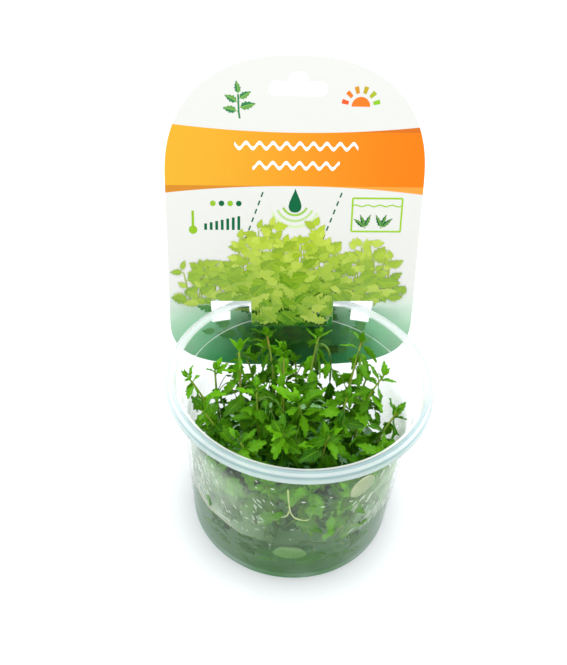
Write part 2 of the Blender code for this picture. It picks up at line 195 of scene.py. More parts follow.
# %% Finish
class Finish:
    """A material with one Principled shader."""

    def __init__(self, name, **uniform):
        self.material = bpy.data.materials.new(name)
        self.material.use_nodes = True
        self.tree = self.material.node_tree
        self.shader = self.tree.nodes["Principled BSDF"]
        for socket, value in uniform.items():
            self.shader.inputs[socket.replace("_", " ")].default_value = value

    def feed(self, socket, value):
        if isinstance(value, Field):
            self.tree.links.new(value.socket, socket)
        else:
            socket.default_value = value

    def node(self, kind, settings, *values, out=0, **named):
        node = self.tree.nodes.new(kind)
        for key, value in settings.items():
            if key == "stops":
                ramp = node.color_ramp.elements
                while len(ramp) < len(value):
                    ramp.new(1.0)
                for element, (place, color) in zip(ramp, value):
                    element.position, element.color = place, color
            else:
                setattr(node, key, value)
        for i, value in enumerate(values):
            if value is not None:
                self.feed(node.inputs[i], value)
        for key, value in named.items():
            self.feed(node.inputs[key], value)
        return Field(self, node.outputs[out])

    def mix(self, share, first, second):
        """Two colours mixed by a share from 0 to 1."""
        settings = {"data_type": "RGBA"}
        return self.node("ShaderNodeMix", settings, share, None, None, None, None, None, first, second, out=2)

    def spot(self):
        """Where a point of the surface is on the object, in metres."""
        return self.node("ShaderNodeTexCoord", {}, out=3)

    def part(self, vector, axis):
        return self.node("ShaderNodeSeparateXYZ", {}, vector, out="xyz".index(axis))

    def at(self, axis):
        """How far a point of the surface is along the object's x, y or z axis, in metres."""
        return self.part(self.spot(), axis)

    def attribute(self, name):
        """The three numbers that a mesh stores at each point, as x, y and z."""
        vector = self.node("ShaderNodeAttribute", {"attribute_name": name}, out=1)
        return [self.part(vector, axis) for axis in "xyz"]

    def noise(self, scale, detail=3.0, rough=0.5):
        return self.node("ShaderNodeTexNoise", {}, self.spot(), Scale=scale, Detail=detail, Roughness=rough)

    def ramp(self, share, *stops):
        """Colours at places from 0 to 1, blended in between."""
        return self.node("ShaderNodeValToRGB", {"stops": stops}, share, out=0)

    def paint(self, **fields):
        for socket, value in fields.items():
            self.feed(self.shader.inputs[socket.replace("_", " ")], value)

    def bump(self, height, strength, distance):
        self.paint(Normal=self.node("ShaderNodeBump", {}, strength, distance, Height=height))


# %% Colours and mottled finishes
def hue(red, green, blue):
    """A colour given as seen on a screen, 0 to 255, turned into the shader's linear scale."""
    parts = [c / 255 for c in (red, green, blue)]
    return (*[c / 12.92 if c <= 0.04045 else ((c + 0.055) / 1.055) ** 2.4 for c in parts], 1.0)


def mottled(name, scale, first, second, **uniform):
    """A finish of two colours that change over in soft patches."""
    finish = Finish(name, **uniform)
    finish.paint(Base_Color=finish.mix(finish.noise(scale).step(0.3, 0.7), first, second))
    return finish


print("red 255, green 128, blue 0 in the shader's scale:", [round(c, 3) for c in hue(255, 128, 0)])

# %% [markdown]
# ## Pieces
# Each finished piece rides on the only body and stands for its solid, so the imported solid is hidden. One
# helper does both. Curves and modifiers are turned into plain meshes at once, because a mesh can be cut,
# bent and marked point by point.

# %% Helpers for pieces
def add_object(name, mesh, *finishes):
    item = new_object(name, mesh)
    mesh.materials.clear()
    for finish in finishes:
        mesh.materials.append(finish.material)
    return item


def dress(item, slot, *nodes):
    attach(item, "root")
    if nodes:
        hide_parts(*nodes)
    return item


def mesh_of(item):
    """The mesh that Blender makes of a curve, or of a mesh with modifiers."""
    graph = bpy.context.evaluated_depsgraph_get()
    return bpy.data.meshes.new_from_object(item.evaluated_get(graph))


def bake_modifiers(item):
    """Replace a piece's mesh by what its modifiers make of it."""
    mesh = mesh_of(item)
    item.modifiers.clear()
    item.data = mesh
    return item


def mesh_from(shape, name):
    """What was built with bmesh, as a mesh."""
    mesh = bpy.data.meshes.new(name)
    shape.to_mesh(mesh)
    shape.free()
    return mesh


def count(item):
    return f"{item.name}: {len(item.data.polygons)} faces"


# %% [markdown]
# ## Floor and light
# The object stands on a bright white table and all the light is soft. A white sky lights everything evenly.
# One large lamp, nearly overhead, gives the leaves their shape, and a weaker and larger one in front of the
# cup opens up the shadows. The table glows a little, as a light table does, so that the shadow round the cup
# stays faint.

# %% Floor, sky and lamps
FLOOR_SIZE = 6.0
SKY_COLOR = (1.0, 1.0, 1.0, 1.0)
SKY_STRENGTH = 1.0
LAMPS = {"key": ((0.02, 0.05, 0.85), 0.42, 3.0), "fill": ((-0.25, -0.65, 0.55), 0.70, 0.8)}
LAMP_AIM = Vector((0, 0, 0.04))
FLOOR_GLOW = 0.16
FLOOR_DROP = 0.0002


def make_floor():
    shape = bmesh.new()
    bmesh.ops.create_grid(shape, x_segments=1, y_segments=1, size=FLOOR_SIZE / 2)
    finish = mottled("floor_white", 30.0, (0.84, 0.87, 0.90, 1.0), (0.85, 0.875, 0.905, 1.0), Roughness=0.6,
                     Specular_IOR_Level=0.2, Emission_Strength=FLOOR_GLOW, Emission_Color=(1.0, 1.0, 1.0, 1.0))
    floor = add_object("floor", mesh_from(shape, "floor"), finish)
    floor.location.z = -FLOOR_DROP


def make_lights():
    world = bpy.data.worlds.new("sky")
    bpy.context.scene.world = world
    world.use_nodes = True
    sky = world.node_tree.nodes["Background"]
    sky.inputs["Color"].default_value = SKY_COLOR
    sky.inputs["Strength"].default_value = SKY_STRENGTH
    for name, (place, size, power) in LAMPS.items():
        lamp = bpy.data.lights.new(name, "AREA")
        lamp.shape, lamp.size, lamp.energy = "DISK", size, power
        item = new_object(name, lamp)
        item.location = place
        item.rotation_euler = (LAMP_AIM - Vector(place)).to_track_quat("-Z", "Y").to_euler()


make_floor()
make_lights()
bpy.context.scene.view_settings.view_transform = "Standard"
print("sky,", len(LAMPS), "lamps and a floor", FLOOR_SIZE, "m wide")

# %% [markdown]
# ## Cup: one turned profile
# The real cup is one moulding. It could be built from tubes and rings, but their seams would show in clear
# plastic, so it is one profile turned round the upright axis. The solid has corners there; the finished cup
# rounds each corner with a short curve, which is what catches the light along the rim and the ledge.

# %% Cup profile
CUP_TURNS = 144
GROOVE_LIP = 0.0005
GROOVE_DEPTH = 0.0004
PROFILE_ROUNDING = 0.0012
MERGE_DISTANCE = 0.00001


def inner_wall_radius(z):
    """Inside radius of the cup's wall below the ledge, at height z."""
    low, high = BASE_RADIUS - WALL_THICKNESS, RIM_RADIUS - RIM_TOP_WIDTH - SKIRT_FLARE - 2 * LEDGE_WIDTH
    return low + (high - low) * z / (CUP_HEIGHT - LEDGE_DEPTH)


def cup_profile():
    """Radius and height of the cup's corners, up the inside, over the rim and down the outside."""
    ledge_z = CUP_HEIGHT - LEDGE_DEPTH
    ledge_r = inner_wall_radius(ledge_z)
    upper_r = ledge_r + LEDGE_WIDTH
    inner_rim = RIM_RADIUS - RIM_TOP_WIDTH
    skirt_r = RIM_RADIUS + SKIRT_FLARE
    skirt_z = CUP_HEIGHT - SKIRT_HEIGHT
    under = CUP_HEIGHT - WALL_THICKNESS * 1.25
    return [
        (0.0, FLOOR_THICKNESS),
        (inner_wall_radius(0.0) - FLOOR_CORNER * 0.7, FLOOR_THICKNESS),
        (inner_wall_radius(FLOOR_CORNER), FLOOR_CORNER),
        (ledge_r, ledge_z - LEDGE_SLOPE * 1.8),
        (upper_r, ledge_z + LEDGE_SLOPE * 0.6),
        (inner_rim - RIM_ROUNDING * 1.3, CUP_HEIGHT - RIM_ROUNDING * 1.4),
        (inner_rim, CUP_HEIGHT),
        (inner_rim + GROOVE_LIP, CUP_HEIGHT),
        (inner_rim + GROOVE_LIP * 1.5, CUP_HEIGHT - GROOVE_DEPTH),
        (RIM_RADIUS - RIM_ROUNDING - GROOVE_LIP * 1.2, CUP_HEIGHT - GROOVE_DEPTH),
        (RIM_RADIUS - RIM_ROUNDING - GROOVE_LIP * 0.7, CUP_HEIGHT),
        (RIM_RADIUS - RIM_ROUNDING, CUP_HEIGHT),
        (RIM_RADIUS, CUP_HEIGHT - RIM_ROUNDING),
        (skirt_r, skirt_z),
        (skirt_r - WALL_THICKNESS, skirt_z),
        (RIM_RADIUS - WALL_THICKNESS, under),
        (inner_rim + WALL_THICKNESS * 0.25, under),
        (upper_r + WALL_THICKNESS, ledge_z - LEDGE_SLOPE * 0.25),
        (ledge_r + WALL_THICKNESS, ledge_z - LEDGE_SLOPE * 1.5),
        (BASE_RADIUS, FOOT_ROUNDING),
        (BASE_RADIUS - FOOT_ROUNDING * 0.35, FOOT_ROUNDING * 0.25),
        (BASE_RADIUS - FOOT_ROUNDING, 0.0),
        (0.0, 0.0),
    ]


def rounded(profile, radius, steps=4):
    """The profile with a short curve at each corner, no longer than a third of either side."""
    points = [Vector(p) for p in profile]
    result = [points[0]]
    for before, corner, after in zip(points, points[1:], points[2:]):
        back, ahead = before - corner, after - corner
        a = corner + back.normalized() * min(radius, back.length / 3)
        b = corner + ahead.normalized() * min(radius, ahead.length / 3)
        for i in range(steps + 1):
            t = i / steps
            result.append(a * (1 - t) ** 2 + corner * (2 * t * (1 - t)) + b * t ** 2)
    return result + [points[-1]]


def turned(name, profile, turns, *finishes):
    mesh = bpy.data.meshes.new(name)
    verts = [(p[0], 0.0, p[1]) for p in profile]
    mesh.from_pydata(verts, [(i, i + 1) for i in range(len(verts) - 1)], [])
    item = add_object(name, mesh, *finishes)
    screw = item.modifiers.new("turn", "SCREW")
    screw.steps = screw.render_steps = turns
    screw.use_merge_vertices = True
    screw.merge_threshold = MERGE_DISTANCE
    screw.use_smooth_shade = True
    return bake_modifiers(item)


cup_line = rounded(cup_profile(), PROFILE_ROUNDING)
print(f"cup profile: {len(cup_profile())} corners, {len(cup_line)} points when rounded")

# %% [markdown]
# ## Cup: clear and milky plastic
# The same plastic looks clear where it is thin and milky where it is thick, so one cup carries four finishes:
# the wall, the same wall dulled by mist, the rim and the floor. Which one a face takes is told from its place
# and the way it faces, so no second model of the rim or the floor is needed.

# %% Cup finishes
WALL_GLOSS = 0.05
MIST_ROUGHNESS = 0.14
# rim colours: the highlight is painted light, the groove shade and the shade line are painted shade
RIM_HIGHLIGHT, RIM_SOFT, RIM_MILK = (1.0, 1.0, 1.0, 1.0), (0.87, 0.95, 0.94, 1.0), (0.90, 0.96, 0.96, 1.0)
RIM_PALE, RIM_GROOVE_SHADE, RIM_SHADE_LINE = (0.70, 0.84, 0.82, 1.0), (0.50, 0.66, 0.70, 1.0), (0.40, 0.56, 0.58, 1.0)
# FOOT_SHADE_SPAN: the heights over which the painted contact shadow at the wall's foot fades out
FOOT_SHADE_SPAN, MISTED_FRONT, MISTED_TOP = (0.0006, 0.0030), (-0.025, 0.005), (0.0540, 0.0600)
RIM_PAINTED_FRONT, FLOOR_SHADED_MIDDLE = (-0.040, 0.004), (0.008, 0.034)


def wall_finish(name="cup_plastic"):
    """The thin wall: nearly clear, and darker teal at the foot, partly for the thicker plastic there and partly
    as a painted contact shadow. It hardly bends light, or light caught inside the wall would draw a black line
    where it is seen edge on. A coat gives the gloss."""
    finish = Finish(name, Roughness=WALL_GLOSS, IOR=1.006, Transmission_Weight=0.985, Coat_Weight=0.22,
                    Coat_Roughness=0.06)
    cloud = finish.noise(60.0).step(0.35, 0.75)
    clear = finish.mix(cloud, (0.985, 1.0, 0.985, 1.0), (0.96, 0.99, 0.955, 1.0))
    # painted contact shadow, partly thicker plastic: the wall darkens to teal at its foot
    foot = 1 - finish.at("z").step(*FOOT_SHADE_SPAN)
    finish.paint(Base_Color=finish.mix(foot, clear, (0.28, 0.46, 0.36, 1.0)))
    return finish


def misted_finish():
    """The inside of the wall, dulled by mist on its front half."""
    finish = wall_finish("cup_misted")
    mist = (1 - finish.at("y").step(*MISTED_FRONT)) * (1 - finish.at("z").step(*MISTED_TOP))
    finish.paint(Roughness=mist * MIST_ROUGHNESS + WALL_GLOSS)
    return finish


def rim_finish():
    """The thicker rim: milky, with painted light and shade in bands: painted shade in the groove and a painted
    highlight along both of its lips. The bands show most in front, where the dark leaves stand behind it."""
    finish = Finish("rim_plastic", Roughness=0.12, IOR=1.14, Transmission_Weight=0.50)
    x, y = finish.at("x"), finish.at("y")
    inner = RIM_RADIUS - RIM_TOP_WIDTH
    outward = ((x * x + y * y) ** 0.5 - inner) * (1 / (RIM_TOP_WIDTH + SKIRT_FLARE))
    cloud = finish.noise(80.0).step(0.35, 0.75) * 0.3
    # painted highlights along the lips, painted shade in the groove and on a thin line near the outer edge
    painted_bands = finish.ramp(outward, (0.00, RIM_HIGHLIGHT), (0.10, RIM_HIGHLIGHT), (0.18, RIM_GROOVE_SHADE), (0.46, RIM_GROOVE_SHADE),
                        (0.56, RIM_SOFT), (0.76, RIM_SOFT), (0.82, RIM_SHADE_LINE), (0.86, RIM_SHADE_LINE),
                        (0.90, RIM_PALE), (1.00, RIM_MILK))
    # the painted bands show only in front; at the back the rim is plain milky
    front = 1 - y.step(*RIM_PAINTED_FRONT)
    finish.paint(Base_Color=finish.mix(front, RIM_MILK, finish.mix(cloud, painted_bands, RIM_PALE)))
    return finish


def base_finish():
    """The cup's floor, thick enough to look milky, and darker green in the middle, under the plants, as painted
    shade.
    """
    finish = Finish("base_plastic", Roughness=0.25, IOR=1.13, Transmission_Weight=0.30)
    # painted shade: the middle of the floor, under the plants, takes the darker green
    cloud = (finish.noise(45.0).step(0.35, 0.7) + abs(finish.at("x")).step(*FLOOR_SHADED_MIDDLE)).least(1.0)
    finish.paint(Base_Color=finish.mix(cloud, (0.21, 0.55, 0.20, 1.0), (0.64, 0.82, 0.70, 1.0)))
    return finish


CUP_FINISHES = wall_finish(), rim_finish(), misted_finish(), base_finish()
WALL, RIM, MISTED, FLOOR = range(len(CUP_FINISHES))
print("cup finishes:", [finish.material.name for finish in CUP_FINISHES])

# %% Turn the cup and share out its finishes
RIM_FROM_Z = CUP_HEIGHT - SKIRT_HEIGHT - 0.0004
RIM_FROM_RADIUS = RIM_RADIUS - RIM_TOP_WIDTH - 0.0008
LEDGE_FOOT = CUP_HEIGHT - LEDGE_DEPTH - LEDGE_SLOPE * 1.7
LEDGE_HIGHLIGHT_LINE = 0.0003
NEARLY_LEVEL = 0.9


def cup_part(face):
    """Which finish a face of the cup takes. A thin line at the ledge's foot takes the rim's finish: milky, and
    in front a painted white highlight.
    """
    spot, normal = face.center, face.normal
    if spot.z > RIM_FROM_Z and spot.xy.length > RIM_FROM_RADIUS:
        return RIM
    inward = spot.x * normal.x + spot.y * normal.y < 0
    # painted highlight: a thin line at the ledge's foot takes the rim's milky finish
    if inward and abs(spot.z - LEDGE_FOOT) < LEDGE_HIGHLIGHT_LINE:
        return RIM
    if spot.z < FLOOR_CORNER and abs(normal.z) > NEARLY_LEVEL:
        return FLOOR
    return MISTED if inward and GEL_TOP < spot.z < CUP_HEIGHT - LEDGE_DEPTH else WALL


def make_cup():
    item = turned("cup_wall", cup_line, CUP_TURNS, *CUP_FINISHES)
    for face in item.data.polygons:
        face.material_index = cup_part(face)
    return dress(item, "cup_plastic", "cup")


cup = make_cup()
print(count(cup))

# %% [markdown]
# ## Gel
# The gel is poured warm, so it creeps a little up the wall before it sets. It is clear with a grey-green
# cast, in faint level layers. It could be a plain cylinder, but it is turned from a profile like the cup's,
# so that it follows the wall's slope. It reaches a hair into the plastic: a thin gap of air between the two
# would show as a mirror.

# %% Gel
GEL_MENISCUS = 0.0006
GEL_FOOT = 0.0030
INTO_WALL = 0.0001
GEL_LAYERS = (26.0, 26.0, 170.0)
GEL_SHADED_MIDDLE = (0.010, 0.038)


def gel_finish():
    finish = Finish("clear_gel", Roughness=0.05, IOR=1.14, Transmission_Weight=0.92)
    layers = finish.node("ShaderNodeMapping", {}, finish.spot(), Scale=GEL_LAYERS)
    swirl = finish.node("ShaderNodeTexNoise", {}, layers, Scale=1.0, Detail=3.0, Distortion=0.6)
    swirl = swirl.step(0.35, 0.65)
    # painted light and shade: the gel is darker green in the middle, under the plants, and paler towards the
    # sides
    side = abs(finish.at("x")).step(*GEL_SHADED_MIDDLE)
    middle = finish.mix(swirl, (0.26, 0.60, 0.18, 1.0), (0.42, 0.70, 0.40, 1.0))
    finish.paint(Base_Color=finish.mix(side * 0.9, middle, (0.70, 0.86, 0.74, 1.0)))
    finish.bump(finish.noise(160.0), 0.1, 0.0006)
    return finish


def make_gel():
    top_r = inner_wall_radius(GEL_TOP)
    floor = FLOOR_THICKNESS - INTO_WALL
    profile = [
        (0.0, GEL_TOP),
        (top_r - GEL_FOOT, GEL_TOP),
        (top_r + INTO_WALL, GEL_TOP + GEL_MENISCUS),
        (inner_wall_radius(GEL_FOOT) + INTO_WALL, GEL_FOOT - INTO_WALL),
        (inner_wall_radius(0.0) - FLOOR_CORNER * 0.7, floor),
        (0.0, floor),
    ]
    item = turned("gel_layer", rounded(profile, PROFILE_ROUNDING), CUP_TURNS, gel_finish())
    return dress(item, "gel", "gel")


gel = make_gel()
print(count(gel))

# %% [markdown]
# ## Card: outline and bend
# The card is one flat blank of coated board. It could be modelled bent, but then its print would have to
# follow the bend by hand. So it is drawn flat, with its hang slot and the cut that lets the rim through, and
# only then bent: the upper part leans back, the tongue hangs inside the cup, and the lower part wraps round
# the back of the wall.

# %% Card measures
CARD_HALF_WIDTH = 0.0510
CARD_TOP = 0.0984
CARD_BOTTOM = -0.0380
CARD_TOP_ARCH = 0.0464
CARD_BOTTOM_ARCH = 0.0300
CARD_ARCH_POWER = 2.35
CARD_ARCH_STEPS = 60
CARD_THICKNESS = 0.00045
CARD_Y = 0.0400
CARD_X = -0.0010
CARD_LEAN = math.radians(18.0)
CARD_TURN = math.radians(0.7)
CARD_BEND = 0.0070
CARD_WRAP_RADIUS = 0.135
CARD_WRAP_Y = 0.0476
CARD_WRAP_TAPER = 0.08
SQUARE_IN = 0.0260
SQUARE_OUT = 0.0338
SQUARE_TOP = 0.0021
SQUARE_BOTTOM = -0.0115
STRIP_TOP = -0.0054
TONGUE_HALF = 0.0172
TONGUE_BOTTOM = -0.0092
TONGUE_CORNER = 0.0018
CUT_WIDTH = 0.0006
SLOT_V = 0.0866
SLOT_HALF = 0.0112
SLOT_RADIUS = 0.0026
BUMP_HALF = 0.0036
BUMP_RISE = 0.0034
BUMP_CORNER = 0.0022
print(f"card {2000 * CARD_HALF_WIDTH:.0f} mm wide and {1000 * (CARD_TOP - CARD_BOTTOM):.0f} mm long when flat")

# %% Card outline, cut and slot
CORNER_STEPS = 6
SLOT_STEPS = 14


def arc(center, radius, start, end, steps):
    """Points of an arc about center, from angle start to angle end in degrees."""
    angles = [math.radians(start + (end - start) * i / steps) for i in range(steps + 1)]
    return [(center[0] + radius * math.cos(a), center[1] + radius * math.sin(a)) for a in angles]


def card_outline():
    """Two arches, each between a half ellipse and a box, with straight sides between their feet."""
    points = []
    for foot, rise, first in ((CARD_TOP - CARD_TOP_ARCH, CARD_TOP_ARCH, 0.0),
                              (CARD_BOTTOM + CARD_BOTTOM_ARCH, CARD_BOTTOM_ARCH, math.pi)):
        for i in range(CARD_ARCH_STEPS + 1):
            angle = first + math.pi * i / CARD_ARCH_STEPS
            c, s = math.cos(angle), math.sin(angle)
            x = math.copysign(abs(c) ** (2 / CARD_ARCH_POWER), c)
            v = math.copysign(abs(s) ** (2 / CARD_ARCH_POWER), s)
            points.append((CARD_HALF_WIDTH * x, foot + rise * v))
    return points


def rim_cut():
    """The cut that lets the rim through: the slit round the tongue, and a square hole on either side."""
    corner = (TONGUE_HALF - TONGUE_CORNER, TONGUE_BOTTOM + TONGUE_CORNER)
    tongue = arc(corner, TONGUE_CORNER, 0, -90, CORNER_STEPS)
    slit = arc(corner, TONGUE_CORNER + CUT_WIDTH, -90, 0, CORNER_STEPS)
    right = [(TONGUE_HALF, SQUARE_TOP), (SQUARE_OUT, SQUARE_TOP), (SQUARE_OUT, SQUARE_BOTTOM),
             (SQUARE_IN, SQUARE_BOTTOM), (SQUARE_IN, STRIP_TOP), (TONGUE_HALF + CUT_WIDTH, STRIP_TOP)]
    right = list(reversed(tongue)) + right + list(reversed(slit))
    return right + [(-x, v) for x, v in reversed(right)]


def hang_slot():
    """A flat slot with a rounded bump above its middle, for a hook."""
    x, r = SLOT_HALF - SLOT_RADIUS, SLOT_RADIUS
    bump_top = SLOT_V + r + BUMP_RISE
    bump = [(BUMP_HALF, SLOT_V + r)]
    bump += arc((BUMP_HALF - BUMP_CORNER, bump_top - BUMP_CORNER), BUMP_CORNER, 0, 90, CORNER_STEPS)
    bump += [(-u, v) for u, v in reversed(bump)]
    return arc((x, SLOT_V), r, -90, 90, SLOT_STEPS) + bump + arc((-x, SLOT_V), r, 90, 270, SLOT_STEPS)


print("card points: outline", len(card_outline()), "- cut", len(rim_cut()), "- slot", len(hang_slot()))

# %% Where the flat card goes
def on_tongue(x, v):
    """True on the tongue, up to the middle of the slit round it."""
    reach = TONGUE_CORNER + CUT_WIDTH / 2
    across = abs(x) - (TONGUE_HALF - TONGUE_CORNER)
    down = TONGUE_BOTTOM + TONGUE_CORNER - v
    if across > 0 and down > 0:
        return math.hypot(across, down) < reach
    return across < reach and down < reach


def card_place(x, v, off):
    """Where a point of the flat card goes: x across, v up from the rim, off towards the front."""
    tongue = on_tongue(x, v)
    c, s = math.cos(CARD_TURN), math.sin(CARD_TURN)
    x, v = x * c - v * s, x * s + v * c
    if v >= 0 or tongue:
        up = Vector((0.0, math.sin(CARD_LEAN), math.cos(CARD_LEAN)))
        front = Vector((0.0, -math.cos(CARD_LEAN), math.sin(CARD_LEAN)))
        return Vector((x + CARD_X, CARD_Y, CUP_HEIGHT)) + up * v + front * off
    ease = min(1.0, -v / CARD_BEND)
    if abs(x) < SQUARE_IN + CUT_WIDTH:
        ease = 1.0
    wrap = CARD_WRAP_Y + CARD_WRAP_TAPER * (v + CARD_BEND) - x * x / (2 * CARD_WRAP_RADIUS)
    lean = CARD_LEAN * (1 - ease)
    y = CARD_Y * (1 - ease) + wrap * ease
    turn = x / CARD_WRAP_RADIUS * ease
    front = Vector((-math.sin(turn), -math.cos(lean) * math.cos(turn), math.sin(lean)))
    return Vector((x + CARD_X, y, CUP_HEIGHT + v)) + front * off


print("top of the card:", [round(1000 * c, 1) for c in card_place(0.0, CARD_TOP, 0.0)], "mm")

# %% [markdown]
# ## Card: the printed ground
# The print is generic: a plain orange band with two rows of white ripples, over a green wash that deepens
# towards the bottom. It could be a picture, but a picture blurs close up, and these are simple shapes. Every
# point of the board stores its flat place on the blank, so the wash and the band are formulas of x and v.

# %% Board finish
BAND_LOW, BAND_HIGH, BAND_SAG = 0.0500, 0.0735, 0.0030
BAND_TOP = BAND_HIGH - BAND_SAG
BAND_EDGE = 0.0005
PRINT_EDGE = 0.00008
RIPPLE_ROWS = ((0.0655, 0.024), (0.0580, 0.017))
RIPPLE_LENGTH = 0.0052
RIPPLE_HEIGHT = 0.0011
RIPPLE_WIDTH = 0.00075
WASH_FADE, WASH_SIDES, WASH_BLUES = (-0.014, 0.010), (0.034, 0.050), (-0.036, -0.004)
# SHADE_V, SHADE_REACH and SHADE_FADE: place, reach and soft edge of a painted shade behind the cup
SHADE_V, SHADE_REACH, SHADE_FADE = -0.019, (0.024, 0.016), (0.75, 2.2)
WHITE_INK = (1.0, 1.0, 1.0, 1.0)


def board_finish():
    """Bare pale board, with the ground of the print where front is 1. PRINT_EDGE softens its edges a little."""
    finish = Finish("card_board", Roughness=0.50, Specular_IOR_Level=0.08)
    x, v, front = finish.attribute("flat")
    edge = PRINT_EDGE
    sag = (x * (1 / CARD_HALF_WIDTH)) ** 2 * BAND_SAG
    band = (v + sag).step(BAND_LOW, BAND_LOW + edge) * (1 - (v - sag).step(BAND_TOP, BAND_TOP + edge))
    ripples = 0.0
    for row, reach in RIPPLE_ROWS:
        wave = (x * (2 * math.pi / RIPPLE_LENGTH)).sin() * RIPPLE_HEIGHT
        line = 1 - abs(v - row - wave).step(RIPPLE_WIDTH - edge, RIPPLE_WIDTH)
        ripples = line * (1 - abs(x).step(reach - edge, reach)) + ripples
    across = x.step(-CARD_HALF_WIDTH, CARD_HALF_WIDTH)
    orange = finish.mix(across, hue(226, 170, 48), hue(232, 122, 20))
    below = 1 - v.step(BAND_LOW, BAND_LOW + edge)
    above = v.step(BAND_TOP + BAND_EDGE, BAND_TOP + BAND_EDGE + edge)
    right = x.step(0.0, edge)
    orange = finish.mix(below * (1 - right) * 0.6 + above * right * 0.6, orange, hue(190, 100, 40))
    orange = finish.mix(below * right * 0.5, orange, hue(240, 178, 84))
    wash = (1 - v.step(*WASH_FADE)) * (1 - abs(x).step(*WASH_SIDES) * 0.28)
    # painted shade: a dark patch low in the middle of the card, behind the cup, over the printed green wash
    spread = ((x * (1 / SHADE_REACH[0])) ** 2 + ((v - SHADE_V) * (1 / SHADE_REACH[1])) ** 2) ** 0.5
    painted_shade = 1 - (spread + finish.noise(110.0, 4.0) * 0.7).step(*SHADE_FADE)
    green = finish.mix(1 - v.step(*WASH_BLUES), hue(166, 230, 188), hue(68, 170, 108))
    green = finish.mix(painted_shade, green, hue(0, 90, 0))
    paper = finish.mix(wash * front, hue(220, 221, 216), green)
    paper = finish.mix(band * front, paper, orange)
    paper = finish.mix(ripples * band * front, paper, WHITE_INK)
    finish.paint(Base_Color=paper)
    finish.bump(finish.noise(900.0), 0.05, 0.0001)
    return finish


BOARD = board_finish()
print("board finish:", len(BOARD.tree.nodes), "nodes")

# %% [markdown]
# ## Card: from a flat blank to a bent card
# Board is stamped out of a sheet, so the blank is an outline with holes. Cutting holes with booleans often
# leaves slivers; a flat curve with several closed lines is filled by Blender itself, with clean holes. The
# plate is then cut into cells, because a face can only bend along its edges.

# %% Flat fill and bend
CARD_CELL = 0.004
CARD_MERGE = 0.000005
ON_PLANE = 0.000002
CARD_SHARP = math.radians(35)


def add_line(curve, places):
    """Add a line of straight stretches to a curve."""
    spline = curve.splines.new("POLY")
    spline.points.add(len(places) - 1)
    for point, place in zip(spline.points, places):
        point.co = (*place, 1.0)
    return spline


def curve_shape(curve, merge):
    """The mesh that a curve makes, and the same as a bmesh without doubled points."""
    item = new_object(curve.name, curve)
    mesh = mesh_of(item)
    bpy.data.objects.remove(item)
    shape = bmesh.new()
    shape.from_mesh(mesh)
    bmesh.ops.remove_doubles(shape, verts=shape.verts, dist=merge)
    return mesh, shape


def cut_along(shape, planes, near):
    """Cut all faces along planes, each given by a point and a normal."""
    for point, normal in planes:
        parts = [*shape.verts, *shape.edges, *shape.faces]
        bmesh.ops.bisect_plane(shape, geom=parts, plane_co=point, plane_no=normal, dist=near)


def across_card(columns, rows):
    """Planes that stand on the flat card, at places across it and up it."""
    return [((0.0, v, 0.0), (0, 1, 0)) for v in rows], [((x, 0.0, 0.0), (1, 0, 0)) for x in columns]


def flat_fill(loops, thickness, cell):
    """A flat plate with the given outline and holes, cut into cells so that it can bend."""
    curve = bpy.data.curves.new("blank", "CURVE")
    curve.dimensions, curve.fill_mode, curve.extrude = "2D", "BOTH", thickness / 2
    for points in loops:
        add_line(curve, [(x, v, 0.0) for x, v in points]).use_cyclic_u = True
    mesh, shape = curve_shape(curve, CARD_MERGE)
    low = min(v.co.y for v in shape.verts)
    high = max(v.co.y for v in shape.verts)
    side = max(abs(v.co.x) for v in shape.verts)
    rows = [low + cell * i for i in range(1, int((high - low) / cell) + 1)] + [0.0]
    columns = [-side + cell * i for i in range(1, int(2 * side / cell) + 1)]
    row_planes, column_planes = across_card(columns, rows)
    cut_along(shape, row_planes + column_planes, ON_PLANE)
    return mesh, shape


def bend_card(name, mesh, shape, finish):
    """Store each point's flat place, bend the plate to its shape and make it a piece."""
    shape.verts.ensure_lookup_table()
    flat = [(v.co.x, v.co.y, 1.0 if v.co.z > 0 else 0.0) for v in shape.verts]
    for vert in shape.verts:
        vert.co = card_place(*vert.co)
    bmesh.ops.triangulate(shape, faces=[f for f in shape.faces if len(f.verts) > 4])
    bmesh.ops.recalc_face_normals(shape, faces=shape.faces)
    shape.to_mesh(mesh)
    shape.free()
    places = mesh.attributes.new("flat", "FLOAT_VECTOR", "POINT")
    places.data.foreach_set("vector", [c for place in flat for c in place])
    mesh.shade_smooth()
    mesh.set_sharp_from_angle(angle=CARD_SHARP)
    mesh.name = name
    return add_object(name, mesh, finish)


board_mesh, board_shape = flat_fill((card_outline(), rim_cut(), hang_slot()), CARD_THICKNESS, CARD_CELL)
card = dress(bend_card("card_board", board_mesh, board_shape, BOARD), "card_board", "card")
print(count(card))
